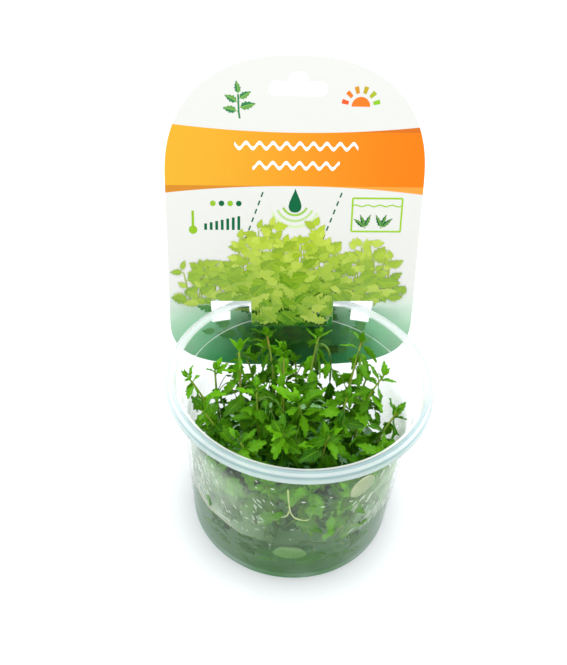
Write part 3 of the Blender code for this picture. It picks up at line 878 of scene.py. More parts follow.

# %% [markdown]
# ## Sprigs: the rows
# Mermaid weed grows as a tuft of bowed stems with toothed leaves. Each sprig has one row: its foot in the
# gel, its tip, how far its stem bows aside, and how many main leaves it has. The rows are the same as those
# of the imported solids. A few leaves that show most are listed one by one: sprig number, place on the stem,
# direction, length and width.

# %% Sprig rows
SPRIGS = [
    (-0.031, 0.005, -0.0430, 0.004, 0.0680, 0.002, 7),
    (-0.028, -0.007, -0.0375, -0.005, 0.0590, -0.003, 7),
    (-0.020, 0.017, -0.0230, 0.029, 0.0620, 0.003, 7),
    (-0.008, 0.024, -0.0118, 0.037, 0.0630, -0.002, 7),
    (-0.003, 0.013, -0.0040, 0.030, 0.0600, 0.002, 7),
    (0.003, 0.004, 0.0010, 0.006, 0.0520, -0.002, 7),
    (0.009, 0.022, 0.0112, 0.036, 0.0630, 0.004, 7),
    (0.021, 0.018, 0.0285, 0.030, 0.0660, -0.002, 7),
    (0.027, 0.008, 0.0360, 0.013, 0.0610, 0.002, 7),
    (0.030, -0.006, 0.0385, -0.006, 0.0590, -0.003, 7),
    (0.025, -0.018, 0.0330, -0.020, 0.0530, 0.002, 7),
    (-0.013, 0.003, -0.0160, 0.008, 0.0580, 0.003, 7),
    (0.015, 0.000, 0.0200, 0.004, 0.0570, -0.003, 7),
    (-0.019, -0.013, -0.0230, -0.014, 0.0530, 0.002, 7),
    (-0.005, -0.010, -0.0060, -0.010, 0.0530, -0.003, 7),
    (0.011, -0.014, 0.0120, -0.013, 0.0540, 0.003, 7),
    (-0.028, -0.023, -0.0310, -0.024, 0.0450, -0.002, 7),
    (-0.012, -0.027, -0.0130, -0.031, 0.0460, 0.002, 7),
    (0.004, -0.028, 0.0040, -0.033, 0.0450, -0.002, 7),
    (0.018, -0.031, 0.0190, -0.033, 0.0440, 0.002, 7),
    (-0.031, 0.021, -0.0330, 0.023, 0.0540, 0.002, 7),
    (-0.016, 0.033, -0.0200, 0.035, 0.0500, -0.002, 6),
    (0.030, 0.024, 0.0320, 0.024, 0.0500, 0.002, 6),
    (0.004, 0.035, 0.0020, 0.037, 0.0460, 0.002, 6),
]
SHOWN_LEAVES = [
    (3, 0.93, (0.05, -0.60, -0.80), 0.0120, 0.0044),
    (5, 0.97, (-0.10, -0.60, -0.80), 0.0120, 0.0056),
    (6, 0.97, (-0.70, 0.25, 0.55), 0.0135, 0.0046),
    (6, 0.93, (0.70, 0.25, 0.50), 0.0135, 0.0046),
    (7, 0.85, (0.25, -0.60, -0.75), 0.0130, 0.0046),
    (8, 0.86, (0.15, -0.60, -0.75), 0.0115, 0.0046),
    (9, 0.80, (-0.60, -0.30, 0.20), 0.0110, 0.0040),
    (1, 0.70, (-0.10, -0.75, 0.10), 0.0090, 0.0036),
]
print(len(SPRIGS), "sprigs,", sum(row[6] for row in SPRIGS), "main leaves wanted")

# %% [markdown]
# ## Sprigs: stems and leaves as formulas
# A stem is a curve with three control points, so a place on it is a short formula of t, from 0 at the foot to
# 1 at the tip. A leaf is a frame of three directions with a length and a width, and any point of it is a
# formula too. That is enough to test whether a leaf has room before anything is modelled.

# %% Stem and leaf formulas
UP = Vector((0.0, 0.0, 1.0))
FOOT_RISE = 0.0012
KNEE_HEIGHT = 0.6
LEAF_WIDEST = 0.3
LEAF_ARCH = 0.10
LEAF_SAMPLES = 10
NEARLY_ALONG = 0.05


def stem_path(row):
    """A sprig's stem: straight up out of the gel, then bowing over to its tip; t runs 0 to 1."""
    foot = Vector((row[0], row[1], GEL_TOP + FOOT_RISE))
    tip = Vector(row[2:5])
    rise = tip.z - foot.z
    aside = Vector((-(tip.y - foot.y), tip.x - foot.x, 0.0))
    side = aside.normalized() if aside.length > 0 else Vector((1.0, 0.0, 0.0))
    knee = foot + Vector((0.0, 0.0, KNEE_HEIGHT * rise)) + side * row[5]

    def place(t):
        return foot * (1 - t) ** 2 + knee * (2 * t * (1 - t)) + tip * t ** 2

    def heading(t):
        return ((knee - foot) * (1 - t) + (tip - knee) * t).normalized()

    return place, heading


def leaf_width(t):
    """A lance-shaped leaf's half width at t from foot to tip, as a share of its greatest."""
    if t < LEAF_WIDEST:
        return min(1.0, t / LEAF_WIDEST)
    return 1.0 - 0.9 * ((t - LEAF_WIDEST) / (1 - LEAF_WIDEST)) ** 1.6


def off_stem(axis, angle, rise):
    """A direction that leaves a stem, turned round the stem's axis by angle and lifted along it by rise."""
    out = axis.orthogonal().normalized()
    out.rotate(Matrix.Rotation(angle, 3, axis))
    return out * math.cos(rise) + axis * math.sin(rise)


def leaf_frame(start, direction, stem_heading):
    """Axes of a leaf: along it, across it, and off its upper face."""
    along = Vector(direction).normalized()
    across = stem_heading.cross(along)
    if across.length < NEARLY_ALONG:
        across = Vector((1.0, 0.0, 0.0)).cross(along)
    across.normalize()
    return start, along, across, along.cross(across)


def leaf_point(frame, length, width, t, s, off=0.0):
    """A point of a leaf: t along it, s across it from -1 to 1, off above its face. It arches down."""
    start, along, across, face = frame
    arch = -LEAF_ARCH * length * t * t
    return start + along * (length * t) + across * (width / 2 * leaf_width(t) * s) + face * (arch + off)


def leaf_samples(frame, length, width):
    points = []
    for i in range(2, LEAF_SAMPLES + 1):
        for s in (-1.0, -0.5, 0.0, 0.5, 1.0):
            points.append(leaf_point(frame, length, width, i / LEAF_SAMPLES, s))
    return points


print("points tested on each leaf:", 5 * (LEAF_SAMPLES - 1))

# %% [markdown]
# ## Sprigs: room for each leaf
# Real leaves push each other aside as they grow. A simulation of that would be slow and would differ from one
# run to the next, so here the leaves settle one after another, and each looks for a place clear of the
# others, the wall, the gel and the card's tongue. Points are kept in a grid of cells, so that only near ones
# are compared.

# %% Crowd of leaves
LEAF_CLEARANCE = 0.00135
WALL_ROOM = 0.0009
GEL_ROOM = 0.0015
TONGUE_ROOM = 0.0045
CROWD_CELL = 0.004


class Crowd:
    """Remembers where stems and leaves are, so that each new leaf finds a free place."""

    def __init__(self):
        self.cells = {}

    def key(self, p):
        return tuple(math.floor(c / CROWD_CELL) for c in p)

    def add(self, points, owner):
        for p in points:
            self.cells.setdefault(self.key(p), []).append((p, owner))

    def is_free(self, points, owner, clearance=LEAF_CLEARANCE):
        for p in points:
            a, b, c = self.key(p)
            for cell in ((a + i, b + j, c + k) for i in (-1, 0, 1) for j in (-1, 0, 1) for k in (-1, 0, 1)):
                for q, other in self.cells.get(cell, ()):
                    if other != owner and (p - q).length < clearance:
                        return False
        return True

    def settle(self, points, owner, clearance=LEAF_CLEARANCE):
        """Take a place, and remember it, if it is in the cup and free of other sprigs."""
        if inside_cup(points) and self.is_free(points, owner, clearance):
            self.add(points, owner)
            return True
        return False


def inside_cup(points):
    """True where points stay off the wall, the gel and the card's tongue."""
    for p in points:
        wall = inner_wall_radius(min(p.z, CUP_HEIGHT - LEDGE_DEPTH))
        if math.hypot(p.x, p.y) > wall - WALL_ROOM:
            return False
        if p.z < GEL_TOP + GEL_ROOM or p.z > CUP_HEIGHT - GEL_ROOM:
            return False
        if p.z > CUP_HEIGHT + TONGUE_BOTTOM - GEL_ROOM and p.y > CARD_Y - TONGUE_ROOM:
            return False
    return True


print("room left for leaves:", f"{WALL_ROOM * 1000} mm to the wall, {GEL_ROOM * 1000} mm to the gel")

# %% [markdown]
# ## Sprigs: the main leaves
# The leaves of a stem follow each other by the golden angle, which keeps them out of each other's shade. The
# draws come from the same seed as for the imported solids, so every main leaf is found again where its solid
# stands.

# %% Grow the main leaves
SEED = 7
LEAF_LENGTH = 0.0105
LEAF_SLENDER = 0.38
LEAF_TURN = math.radians(137.5)
LEAF_TRIES = 60
LEAF_APART = 0.0028
LEAF_HEART = 0.6
TIP_LEAVES = 3
TIP_PLACE, TIP_SPACING, TIP_SIZE = 0.965, 0.02, 0.68
HIGHEST_LEAF, LEAF_SPAN = 0.90, 0.74
TIP_LIFT, SIDE_LIFT = (0.55, 1.05), (-0.15, 0.55)
LENGTH_PLAY, TURN_PLAY, SHRINK = (0.9, 1.12), 0.3, 0.35
STEM_SAMPLES = 40


def grow(rows):
    """Place every sprig's main leaves, each as (frame, length, width, place on the stem)."""
    crowd = Crowd()
    rng = random.Random(SEED)
    paths = [stem_path(row) for row in rows]
    for number, (place, _) in enumerate(paths):
        crowd.add([place(i / STEM_SAMPLES) for i in range(STEM_SAMPLES + 1)], number)
    leaves = [[] for _ in rows]

    def settle(number, t, direction, length, width):
        place, heading = paths[number]
        frame = leaf_frame(place(t), direction, heading(t))
        points = leaf_samples(frame, length, width)
        heart = leaf_point(frame, length, width, LEAF_HEART, 0.0)
        hearts = [leaf_point(*leaf[:3], LEAF_HEART, 0.0) for leaf in leaves[number]]
        apart = all((heart - other).length > LEAF_APART for other in hearts)
        settled = apart and crowd.settle(points, number)
        if settled:
            leaves[number].append((frame, length, width, t))
        return settled

    for number, t, direction, length, width in SHOWN_LEAVES:
        settle(number - 1, t, direction, length, width)
    for number, row in enumerate(rows):
        heading = paths[number][1]
        below = row[6] - TIP_LEAVES
        turn = rng.uniform(0.0, 2 * math.pi)
        for i in range(row[6]):
            top = i < TIP_LEAVES
            t = TIP_PLACE - TIP_SPACING * i if top else HIGHEST_LEAF - LEAF_SPAN * (i - TIP_LEAVES) / below
            size = TIP_SIZE if top else 0.82 + 0.30 * (1 - t)
            for attempt in range(LEAF_TRIES):
                angle = turn + i * LEAF_TURN + rng.uniform(-TURN_PLAY, TURN_PLAY) * (1 + attempt / 6)
                direction = off_stem(heading(t), angle, rng.uniform(*(TIP_LIFT if top else SIDE_LIFT)))
                shrink = 1.0 - SHRINK * attempt / LEAF_TRIES
                length = LEAF_LENGTH * size * rng.uniform(*LENGTH_PLAY) * shrink
                if settle(number, t, direction, length, length * LEAF_SLENDER):
                    break
    return paths, leaves, crowd


paths, main_leaves, crowd = grow(SPRIGS)
print("main leaves:", sum(len(leaves) for leaves in main_leaves))

# %% [markdown]
# ## Sprigs: the leaves between
# A real tuft is far denser than its main leaves. The smaller ones fill the space between them, down to the
# gel, and a tight bud closes each tip. Scattering copies of one leaf would be quicker, but they would cut
# through each other, so these settle like the main ones. They use a smaller clearance, because young leaves
# lie close together. Each sprig has its own number of them, and a highest place on the stem.

# %% Leaves between and buds
BETWEEN = [
    (10, 0.50), (16, 0.75), (11, 0.42), (9, 0.38), (13, 0.52), (20, 0.86), (9, 0.38), (11, 0.46),
    (12, 0.55), (14, 0.66), (22, 0.88), (18, 0.72), (20, 0.82), (24, 0.92), (24, 0.92), (24, 0.92),
    (20, 0.94), (20, 0.94), (20, 0.94), (20, 0.94), (9, 0.55), (8, 0.60), (9, 0.60), (8, 0.60),
]
BETWEEN_TRIES = 14
BETWEEN_CLEARANCE = 0.0007
BETWEEN_LENGTH = (0.0070, 0.0125)
BETWEEN_LOWEST = 0.04
FRONT_GROWTH = 1.25
BETWEEN_SLENDER = (0.40, 0.54)
BETWEEN_ROLL = 1.1
BUD_LEAVES = 4
BUD_PLACE, BUD_LIFT, BUD_LENGTH, BUD_SLENDER = 0.99, (1.0, 1.35), (0.0026, 0.0040), 0.42
TALL_STEM = 0.0555
HANGING_LEAVES = 8
HANGING_FROM, HANGING_SPAN = 0.46, 0.48
HANGING_LIFT, HANGING_SLENDER, HANGING_ROLL = (-1.40, -0.55), (0.32, 0.44), 0.8
HANGING_AGE, BUD_AGE = 0.9, 1.0


def rolled(frame, angle):
    """The frame turned about the leaf's own length, so that leaves don't all face the sky."""
    start, along, across, face = frame
    turn = Matrix.Rotation(angle, 3, along)
    return start, along, turn @ across, turn @ face


def fill_between(number, rng):
    """The smaller leaves of one sprig; they hang more, the higher they sit."""
    place, heading = paths[number]
    wanted, highest = BETWEEN[number]
    growth = FRONT_GROWTH if SPRIGS[number][1] < 0 else 1.0
    extra = []
    turn = rng.uniform(0.0, 2 * math.pi)
    for i in range(wanted):
        t = BETWEEN_LOWEST + (highest - BETWEEN_LOWEST) * i / (wanted - 1)
        axis = heading(t)
        for attempt in range(BETWEEN_TRIES):
            angle = turn + i * LEAF_TURN + rng.uniform(-0.5, 0.5) * (1 + attempt / 4)
            direction = off_stem(axis, angle, rng.uniform(-0.9 - 0.4 * t, 0.5 - 0.3 * t))
            size = growth * (1.2 - 0.45 * t) * (1.0 - SHRINK * attempt / BETWEEN_TRIES)
            length = rng.uniform(*BETWEEN_LENGTH) * size
            width = length * rng.uniform(*BETWEEN_SLENDER)
            frame = rolled(leaf_frame(place(t), direction, axis), rng.uniform(-BETWEEN_ROLL, BETWEEN_ROLL))
            if crowd.settle(leaf_samples(frame, length, width), number, BETWEEN_CLEARANCE):
                extra.append((frame, length, width, t))
                break
    return extra


def hanging(number, rng):
    """Slender leaves that droop along the bare upper part of a tall stem."""
    place, heading = paths[number]
    extra = []
    if SPRIGS[number][4] < TALL_STEM:
        return extra
    turn = rng.uniform(0.0, 2 * math.pi)
    for i in range(HANGING_LEAVES):
        t = HANGING_FROM + HANGING_SPAN * i / (HANGING_LEAVES - 1)
        for attempt in range(BETWEEN_TRIES):
            angle = turn + i * LEAF_TURN + rng.uniform(-0.4, 0.4) * (1 + attempt / 4)
            rise = rng.uniform(*HANGING_LIFT)
            out = Vector((math.cos(angle) * math.cos(rise), math.sin(angle) * math.cos(rise), math.sin(rise)))
            length = rng.uniform(*BETWEEN_LENGTH) * (1.0 - 0.4 * attempt / BETWEEN_TRIES)
            width = length * rng.uniform(*HANGING_SLENDER)
            frame = rolled(leaf_frame(place(t), out, heading(t)), rng.uniform(-HANGING_ROLL, HANGING_ROLL))
            if crowd.settle(leaf_samples(frame, length, width), number, BETWEEN_CLEARANCE):
                extra.append((frame, length, width, HANGING_AGE))
                break
    return extra


def bud(number, rng):
    """The young leaves that close a sprig's tip."""
    place, heading = paths[number]
    axis = heading(1.0)
    leaves = []
    turn = rng.uniform(0.0, 2 * math.pi)
    for i in range(BUD_LEAVES):
        direction = off_stem(axis, turn + i * LEAF_TURN, rng.uniform(*BUD_LIFT))
        length = rng.uniform(*BUD_LENGTH)
        leaves.append((leaf_frame(place(BUD_PLACE), direction, axis), length, length * BUD_SLENDER, BUD_AGE))
    return leaves


fill_rng = random.Random(21)
all_leaves = [main + fill_between(i, fill_rng) + hanging(i, fill_rng) + bud(i, fill_rng)
              for i, main in enumerate(main_leaves)]
print("leaves in all:", sum(len(leaves) for leaves in all_leaves))

# %% [markdown]
# ## Sprigs: arching shoots
# Thin side shoots arch out of the tuft, mostly at the back, and droop under their few small leaves. Their
# dark curves in front of the white wall make the tuft look tangled. Each is a smooth line through four points
# drawn at random. One thick shoot in the middle is given point by point in millimetres, and so are
# a few long narrow leaves.

# %% Side shoots: measures and smooth lines
SHOOT_SPRIGS = (2, 3, 4, 5, 6, 7, 8, 11, 12, 20, 21, 22, 23)
SHOOTS_EACH = 2
SHOOT_STEPS = 12
SHOOT_RADIUS = 0.00024
SHOOT_ROOM = 0.0006
SHOOT_START, SHOOT_REACH = (0.35, 0.85), (0.006, 0.014)
SHOOT_LIFT, SHOOT_DROP = (0.003, 0.009), (-0.003, 0.006)
SHOOT_LEAVES = ((0.55, 0.0045), (0.70, 0.0055), (0.84, 0.0055), (0.99, 0.0075))
SHOOT_LEAF_SLENDER, SHOOT_AGE = 0.4, 0.5
BIG_SHOOT_SPRIG = 6
BIG_SHOOT = [(9.6, 26.5, 52.0), (8.8, 25.0, 63.0), (10.4, 24.0, 67.6), (13.4, 22.5, 65.8), (15.0, 21.6, 58.0),
             (15.4, 21.0, 50.0)]
BIG_SHOOT_RADIUS = 0.00062
BIG_SHOOT_LEAVES = [
    (0.96, (0.04, -0.12, -1.0), 0.0170, 0.0046, 0.18),
    (0.74, (-0.35, -0.45, -0.8), 0.0085, 0.0034, 0.75),
    (0.82, (0.50, -0.35, -0.8), 0.0100, 0.0038, 0.40),
]
LONG_LEAVES = [
    (4, 0.45, (0.60, 0.02, 0.80), 0.0190, 0.0040, 0.20),
    (4, 0.42, (-0.62, 0.04, 0.78), 0.0165, 0.0042, 0.28),
    (5, 0.60, (0.80, 0.10, 0.35), 0.0140, 0.0042, 0.45),
    (11, 0.60, (-0.75, -0.25, 0.45), 0.0125, 0.0040, 0.35),
]


def tapered(line, radius, loss):
    """A line as (point, radius), thinner towards its end by the share loss."""
    return [(p, radius * (1.0 - loss * i / len(line))) for i, p in enumerate(line)]


def along_line(points, share):
    """A point and the heading at a share of the way along a chain of points."""
    place = share * (len(points) - 1)
    i = min(int(place), len(points) - 2)
    return points[i].lerp(points[i + 1], place - i), (points[i + 1] - points[i]).normalized()


def smooth_line(points, steps):
    """A smooth chain through points: each stretch is a cubic with its neighbours' slopes."""
    ends = [points[0], *points, points[-1]]
    result = []
    for a, b, c, d in zip(ends, ends[1:], ends[2:], ends[3:]):
        for k in range(steps):
            u = k / steps
            result.append(0.5 * (2 * b + (c - a) * u + (2 * a - 5 * b + 4 * c - d) * u ** 2
                                 + (3 * b - a - 3 * c + d) * u ** 3))
    return result + [points[-1]]


example = smooth_line([UP * i for i in range(4)], SHOOT_STEPS // 3)
print("a smooth line through 4 points has", len(example), "points")

# %% Grow the side shoots
def placed_leaf(spot, direction, length, width):
    return leaf_frame(spot, direction, UP), length, width, SHOOT_AGE


def side_shoots(number, rng):
    """The thin shoots of one sprig: rods for their stems, and their leaves with a tint each."""
    stems, leaves = [], []
    for _ in range(SHOOTS_EACH):
        start = paths[number][0](rng.uniform(*SHOOT_START))
        angle = rng.uniform(0.0, 2 * math.pi)
        out = Vector((math.cos(angle), math.sin(angle), 0.0))
        reach, lift, drop = (rng.uniform(*span) for span in (SHOOT_REACH, SHOOT_LIFT, SHOOT_DROP))
        peak, end = start + out * reach * 0.55, start + out * reach
        peak.z, end.z = peak.z + lift, end.z + lift * 0.5 - drop
        shoulder = start.lerp(peak, 0.5) + Vector((0, 0, lift * 0.3))
        line = smooth_line([start, shoulder, peak, end], SHOOT_STEPS // 3)
        if not inside_cup(line):
            continue
        stems.append(tapered(line, SHOOT_RADIUS, 0.5))
        for share, length in SHOOT_LEAVES:
            spot, way = along_line(line, share)
            side = off_stem(way, rng.uniform(0.0, 2 * math.pi), 0.0)
            direction = way + side * (0.9 if share < 0.9 else 0.2) + Vector((0.0, 0.0, -0.5))
            length *= rng.uniform(0.8, 1.3)
            leaf = placed_leaf(spot, direction, length, length * SHOOT_LEAF_SLENDER)
            if crowd.settle(leaf_samples(*leaf[:3]), number, SHOOT_ROOM):
                leaves.append((leaf, rng.uniform(0.0, 0.55)))
    return stems, leaves


shoot_rng = random.Random(8)
shoots = [side_shoots(i, shoot_rng) if i in SHOOT_SPRIGS else ([], []) for i in range(len(SPRIGS))]
big_line = smooth_line([Vector(p) / 1000 for p in BIG_SHOOT], SHOOT_STEPS)
big_stems, big_leaves = shoots[BIG_SHOOT_SPRIG]
big_stems.append(tapered(big_line, BIG_SHOOT_RADIUS, 0.3))
for share, direction, length, width, tint in BIG_SHOOT_LEAVES:
    big_leaves.append((placed_leaf(along_line(big_line, share)[0], direction, length, width), tint))
for number, t, direction, length, width, tint in LONG_LEAVES:
    shoots[number][1].append((placed_leaf(paths[number][0](t), direction, length, width), tint))
print("side shoots:", sum(len(stems) for stems, _ in shoots))

# %% [markdown]
# ## Sprigs: shape of one leaf
# A real leaf has teeth along both edges that lean towards the tip, a fold along the midrib and a slight wave
# along the margin. A flat card with a picture of a leaf would look thin from the side, so each leaf is a
# small grid of points, and Solidify gives the blade its thickness. Every point stores how far it is along and
# across the blade, and the leaf's tint, which holds both its age and painted light.

# %% Leaf blade
TEETH = 4
TOOTH_DEPTH = 0.50
TOOTH_LEAN = 0.045
BLADE_FOOT = 0.14
BLADE_THICKNESS = 0.00022
BLADE_STALK, LAST_TOOTH = 0.10, 0.93
BLADE_SHARP = math.radians(50)
FOLD = 0.30
TIP_AGE, BUD_CURL = 0.80, -1.6


def blade_width(t):
    """Half width of the blade: a short stalk, widest before the middle, a drawn-out tip."""
    if t < BLADE_FOOT:
        return BLADE_STALK
    u = (t - BLADE_FOOT) / (1 - BLADE_FOOT)
    return BLADE_STALK * (1 - u) + math.sin(math.pi * u ** 0.72) ** 0.95 * 0.95


def blade_rows():
    """Rows of the blade as (t, share of width, lean towards the tip), two for each tooth."""
    rows = [(0.0, 1.0, 0.0), (BLADE_FOOT, 1.0, 0.0)]
    pitch = (LAST_TOOTH - BLADE_FOOT) / TEETH
    for k in range(TEETH):
        start = BLADE_FOOT + pitch * k
        rows.append((start + pitch * 0.30, 1.0 - TOOTH_DEPTH * 0.35, 0.0))
        rows.append((start + pitch * 0.88, 1.0 + TOOTH_DEPTH * 0.45, TOOTH_LEAN))
    return rows + [(1.0, 0.3, 0.0)]


BLADE_ROWS = blade_rows()
BLADE_COLUMNS = (-1.0, -0.5, 0.0, 0.5, 1.0)


class Blades:
    """Collects leaf blades as one mesh. Full-grown leaves sag by droop, and those of a bud curl upwards."""

    def __init__(self, droop=1.0):
        self.points, self.faces, self.marks, self.droop = [], [], [], droop

    def add(self, leaf, tint, rng):
        (start, along, across, face), length, width, age = leaf
        first = len(self.points)
        droop = BUD_CURL if age == BUD_AGE else 1.0 if age > TIP_AGE else self.droop
        sag = LEAF_ARCH * droop * rng.uniform(0.8, 1.8)
        wave, phase = rng.uniform(0.0, 0.07), rng.uniform(0.0, 6.3)
        fold = FOLD * rng.uniform(0.5, 1.2)
        for t, share, lean in BLADE_ROWS:
            for s in BLADE_COLUMNS:
                edge = abs(s)
                reach = width / 2 * blade_width(t) * (share if edge == 1.0 else 1.0) * s
                ripple = wave * length * edge * math.sin(11 * t + phase)
                off = fold * abs(reach) - sag * length * t * t + ripple
                run = t + (lean if edge == 1.0 else 0.0)
                self.points.append(start + along * (length * run) + across * reach + face * off)
                self.marks.append((t, s, tint))
        wide = len(BLADE_COLUMNS)
        for r in range(len(BLADE_ROWS) - 1):
            for c in range(wide - 1):
                a = first + r * wide + c
                self.faces.append((a, a + 1, a + 1 + wide, a + wide))

    def piece(self, name, finish):
        mesh = bpy.data.meshes.new(name)
        mesh.from_pydata(self.points, [], self.faces)
        marks = mesh.attributes.new("leaf", "FLOAT_VECTOR", "POINT")
        marks.data.foreach_set("vector", [c for mark in self.marks for c in mark])
        item = add_object(name, mesh, finish)
        solid = item.modifiers.new("thickness", "SOLIDIFY")
        solid.thickness = BLADE_THICKNESS
        solid.offset = 0.0
        bake_modifiers(item)
        item.data.shade_smooth()
        item.data.set_sharp_from_angle(angle=BLADE_SHARP)
        return item


print("points in one blade:", len(BLADE_ROWS) * len(BLADE_COLUMNS))

# %% [markdown]
# ## Sprigs: green finishes
# A young leaf is yellow-green and an old one deep green, with paler veins, and light shines through it a
# little. The finish draws midrib and veins from the places that each point stores, so all leaves share one
# material. Stems turn reddish brown towards their tips.

# %% Leaf, stem and root finishes
def leaf_finish():
    finish = Finish("leaf_green", Roughness=0.50, Specular_IOR_Level=0.14, Subsurface_Weight=0.40,
                    Subsurface_Scale=0.0006, Subsurface_Radius=(0.5, 1.0, 0.15))
    t, s, tint = finish.attribute("leaf")
    side = abs(s)
    midrib = 1 - side.step(0.02, 0.11)
    veins = ((t * 8 - side * 1.3) * (2 * math.pi)).sin().step(0.80, 1.0) * (1 - side.step(0.75, 1.0))
    mottle = finish.noise(420.0).step(0.3, 0.7)
    # tint holds a leaf's age and painted light: sprigs at the back and leaves high on a stem are painted
    # lighter
    blade = finish.mix(tint, hue(0, 62, 0), hue(112, 182, 16))
    blade = finish.mix(mottle * 0.3, blade, hue(16, 104, 0))
    blade = finish.mix(midrib.most(veins * 0.4) * 0.45, blade, hue(128, 190, 30))
    finish.paint(Base_Color=blade)
    finish.bump(midrib * 0.5 + veins * 0.5 + mottle * 0.3, 0.35, 0.0002)
    return finish


def stem_finish():
    finish = Finish("stem_green", Roughness=0.45, Subsurface_Weight=0.15, Subsurface_Scale=0.0008)
    red = finish.at("z").step(0.030, 0.066) * finish.noise(90.0).step(0.45, 0.70)
    finish.paint(Base_Color=finish.mix(red, hue(140, 172, 52), hue(160, 112, 44)))
    finish.bump(finish.noise(900.0), 0.2, 0.0002)
    return finish


GREEN, STEM = leaf_finish(), stem_finish()
ROOT = mottled("root_pale", 300.0, hue(168, 190, 96), hue(206, 214, 150), Roughness=0.5)
SHOOT = mottled("shoot_green", 120.0, hue(30, 78, 14), hue(112, 150, 52), Roughness=0.45,
                Subsurface_Weight=0.15, Subsurface_Scale=0.0008)
print("green finishes:", [finish.material.name for finish in (GREEN, STEM, ROOT, SHOOT)])

# %% [markdown]
# ## Sprigs: stems, roots and the whole plant
# Stems and roots are round and thin, and they taper. A curve with a round section and a radius at each point
# makes them in one step, where bent cylinders would need a joint at each bend. A sprig's blades, stem, roots
# and side shoots are joined, because the real shoot is one grown piece. Sprigs at the back droop more, and
# their leaves are painted lighter as painted light; leaves high on a stem are lighter, partly young and partly
# painted light.

# %% Rods
ROD_MERGE = 0.000002
ROD_SHARP = math.radians(60)


def rods(name, lines, finish):
    """Round rods along lines of (point, radius), as one mesh."""
    curve = bpy.data.curves.new(name, "CURVE")
    curve.dimensions, curve.bevel_depth, curve.bevel_resolution = "3D", 1.0, 1
    curve.use_fill_caps = True
    for line in lines:
        spline = add_line(curve, [place for place, _ in line])
        for point, (_, radius) in zip(spline.points, line):
            point.radius = radius
    mesh, shape = curve_shape(curve, ROD_MERGE)
    shape.to_mesh(mesh)
    shape.free()
    mesh.shade_smooth()
    mesh.set_sharp_from_angle(angle=ROD_SHARP)
    return add_object(name, mesh, finish)


def joined(items, name):
    """One object made of all items."""
    bpy.ops.object.select_all(action="DESELECT")
    for item in items:
        item.select_set(True)
    bpy.context.view_layer.objects.active = items[0]
    bpy.ops.object.join()
    items[0].name = name
    return items[0]


print("rods are round, with edges sharper than", round(math.degrees(ROD_SHARP)), "degrees kept")

# %% Stems and roots
STEM_FOOT = 0.0110
STEM_RADIUS = 0.00070
STEM_POINTS = 22
STEM_TAPER = 0.45
STEM_KNOT = 0.18
ROOT_RADIUS, ROOT_POINTS, ROOT_STEP = 0.00022, 12, 0.0013
ROOT_START, ROOT_SLOPE, ROOT_BEND = (0.0150, 0.0230), (-1.1, -0.1), 0.6
ROOT_LOWEST, ROOT_ROOM = 0.0025, 0.0012


def stem_line(number):
    place, _ = paths[number]
    row = SPRIGS[number]
    line = [(Vector((row[0], row[1], STEM_FOOT)), STEM_RADIUS * 0.9)]
    for i in range(STEM_POINTS + 1):
        t = i / STEM_POINTS
        knot = 1.0 + (STEM_KNOT if i % 4 == 0 else 0.0)
        line.append((place(t), STEM_RADIUS * (0.95 - STEM_TAPER * t) * knot))
    return line


def root_lines(number, rng):
    """Two or three thin roots that wander down and out through the gel."""
    row = SPRIGS[number]
    lines = []
    for _ in range(rng.choice((2, 3, 3))):
        point = Vector((row[0], row[1], rng.uniform(*ROOT_START)))
        angle = rng.uniform(0.0, 2 * math.pi)
        line = []
        for k in range(ROOT_POINTS):
            line.append((point.copy(), ROOT_RADIUS * (1.0 - 0.055 * k)))
            angle += rng.uniform(-ROOT_BEND, ROOT_BEND)
            step = Vector((math.cos(angle), math.sin(angle), rng.uniform(*ROOT_SLOPE))) * ROOT_STEP
            point = point + step
            room = inner_wall_radius(max(point.z, 0.0)) - ROOT_ROOM
            if point.z < ROOT_LOWEST or math.hypot(point.x, point.y) > room:
                break
        lines.append(line)
    return [line for line in lines if len(line) > 2]


print("points in one stem:", len(stem_line(0)))

# %% Put the plants together
# painted light: back sprigs lighter, front ones a little darker; height on the stem adds youth and painted
# light
BACK_PAINTED_LIGHT, FRONT_PAINTED_LIGHT, TIP_YOUTH_AND_LIGHT, TINT_PLAY = 0.25, -0.02, 0.60, (-0.30, 0.38)
BACK_DROOP = 1.7


def make_sprig(number, rng):
    name = f"sprig_{number + 1:02d}"
    at_back = SPRIGS[number][1] > 0
    blades = Blades(BACK_DROOP if at_back else 1.0)
    for leaf in all_leaves[number]:
        # the tint is the leaf's age plus painted light from its place in the tuft
        age_and_light = (BACK_PAINTED_LIGHT if at_back else FRONT_PAINTED_LIGHT) + TIP_YOUTH_AND_LIGHT * leaf[3]
        blades.add(leaf, min(1.0, max(0.0, age_and_light + rng.uniform(*TINT_PLAY))), rng)
    stems, shoot_leaves = shoots[number]
    for leaf, tint in shoot_leaves:
        blades.add(leaf, tint, rng)
    items = [blades.piece(name + "_leaves", GREEN), rods(name + "_stem", [stem_line(number)], STEM),
             rods(name + "_roots", root_lines(number, rng), ROOT)]
    if stems:
        items.append(rods(name + "_shoots", stems, SHOOT))
    return dress(joined(items, name + "_plant"), "leaf", name)


plant_rng = random.Random(5)
plants = [make_sprig(i, plant_rng) for i in range(len(SPRIGS))]
print(sum(len(item.data.polygons) for item in plants), "faces in the sprigs")

# %% [markdown]
# ## Bits against the wall
# Some leaves, a bare root and two pale scraps lie flat against the inside of the front wall, above the gel
# and in it. They could be pushed there by hand, but it is easier to say where they lie on the wall: an angle
# round the cup in degrees and a height in millimetres, for the foot and for the tip, then a width and a tint.

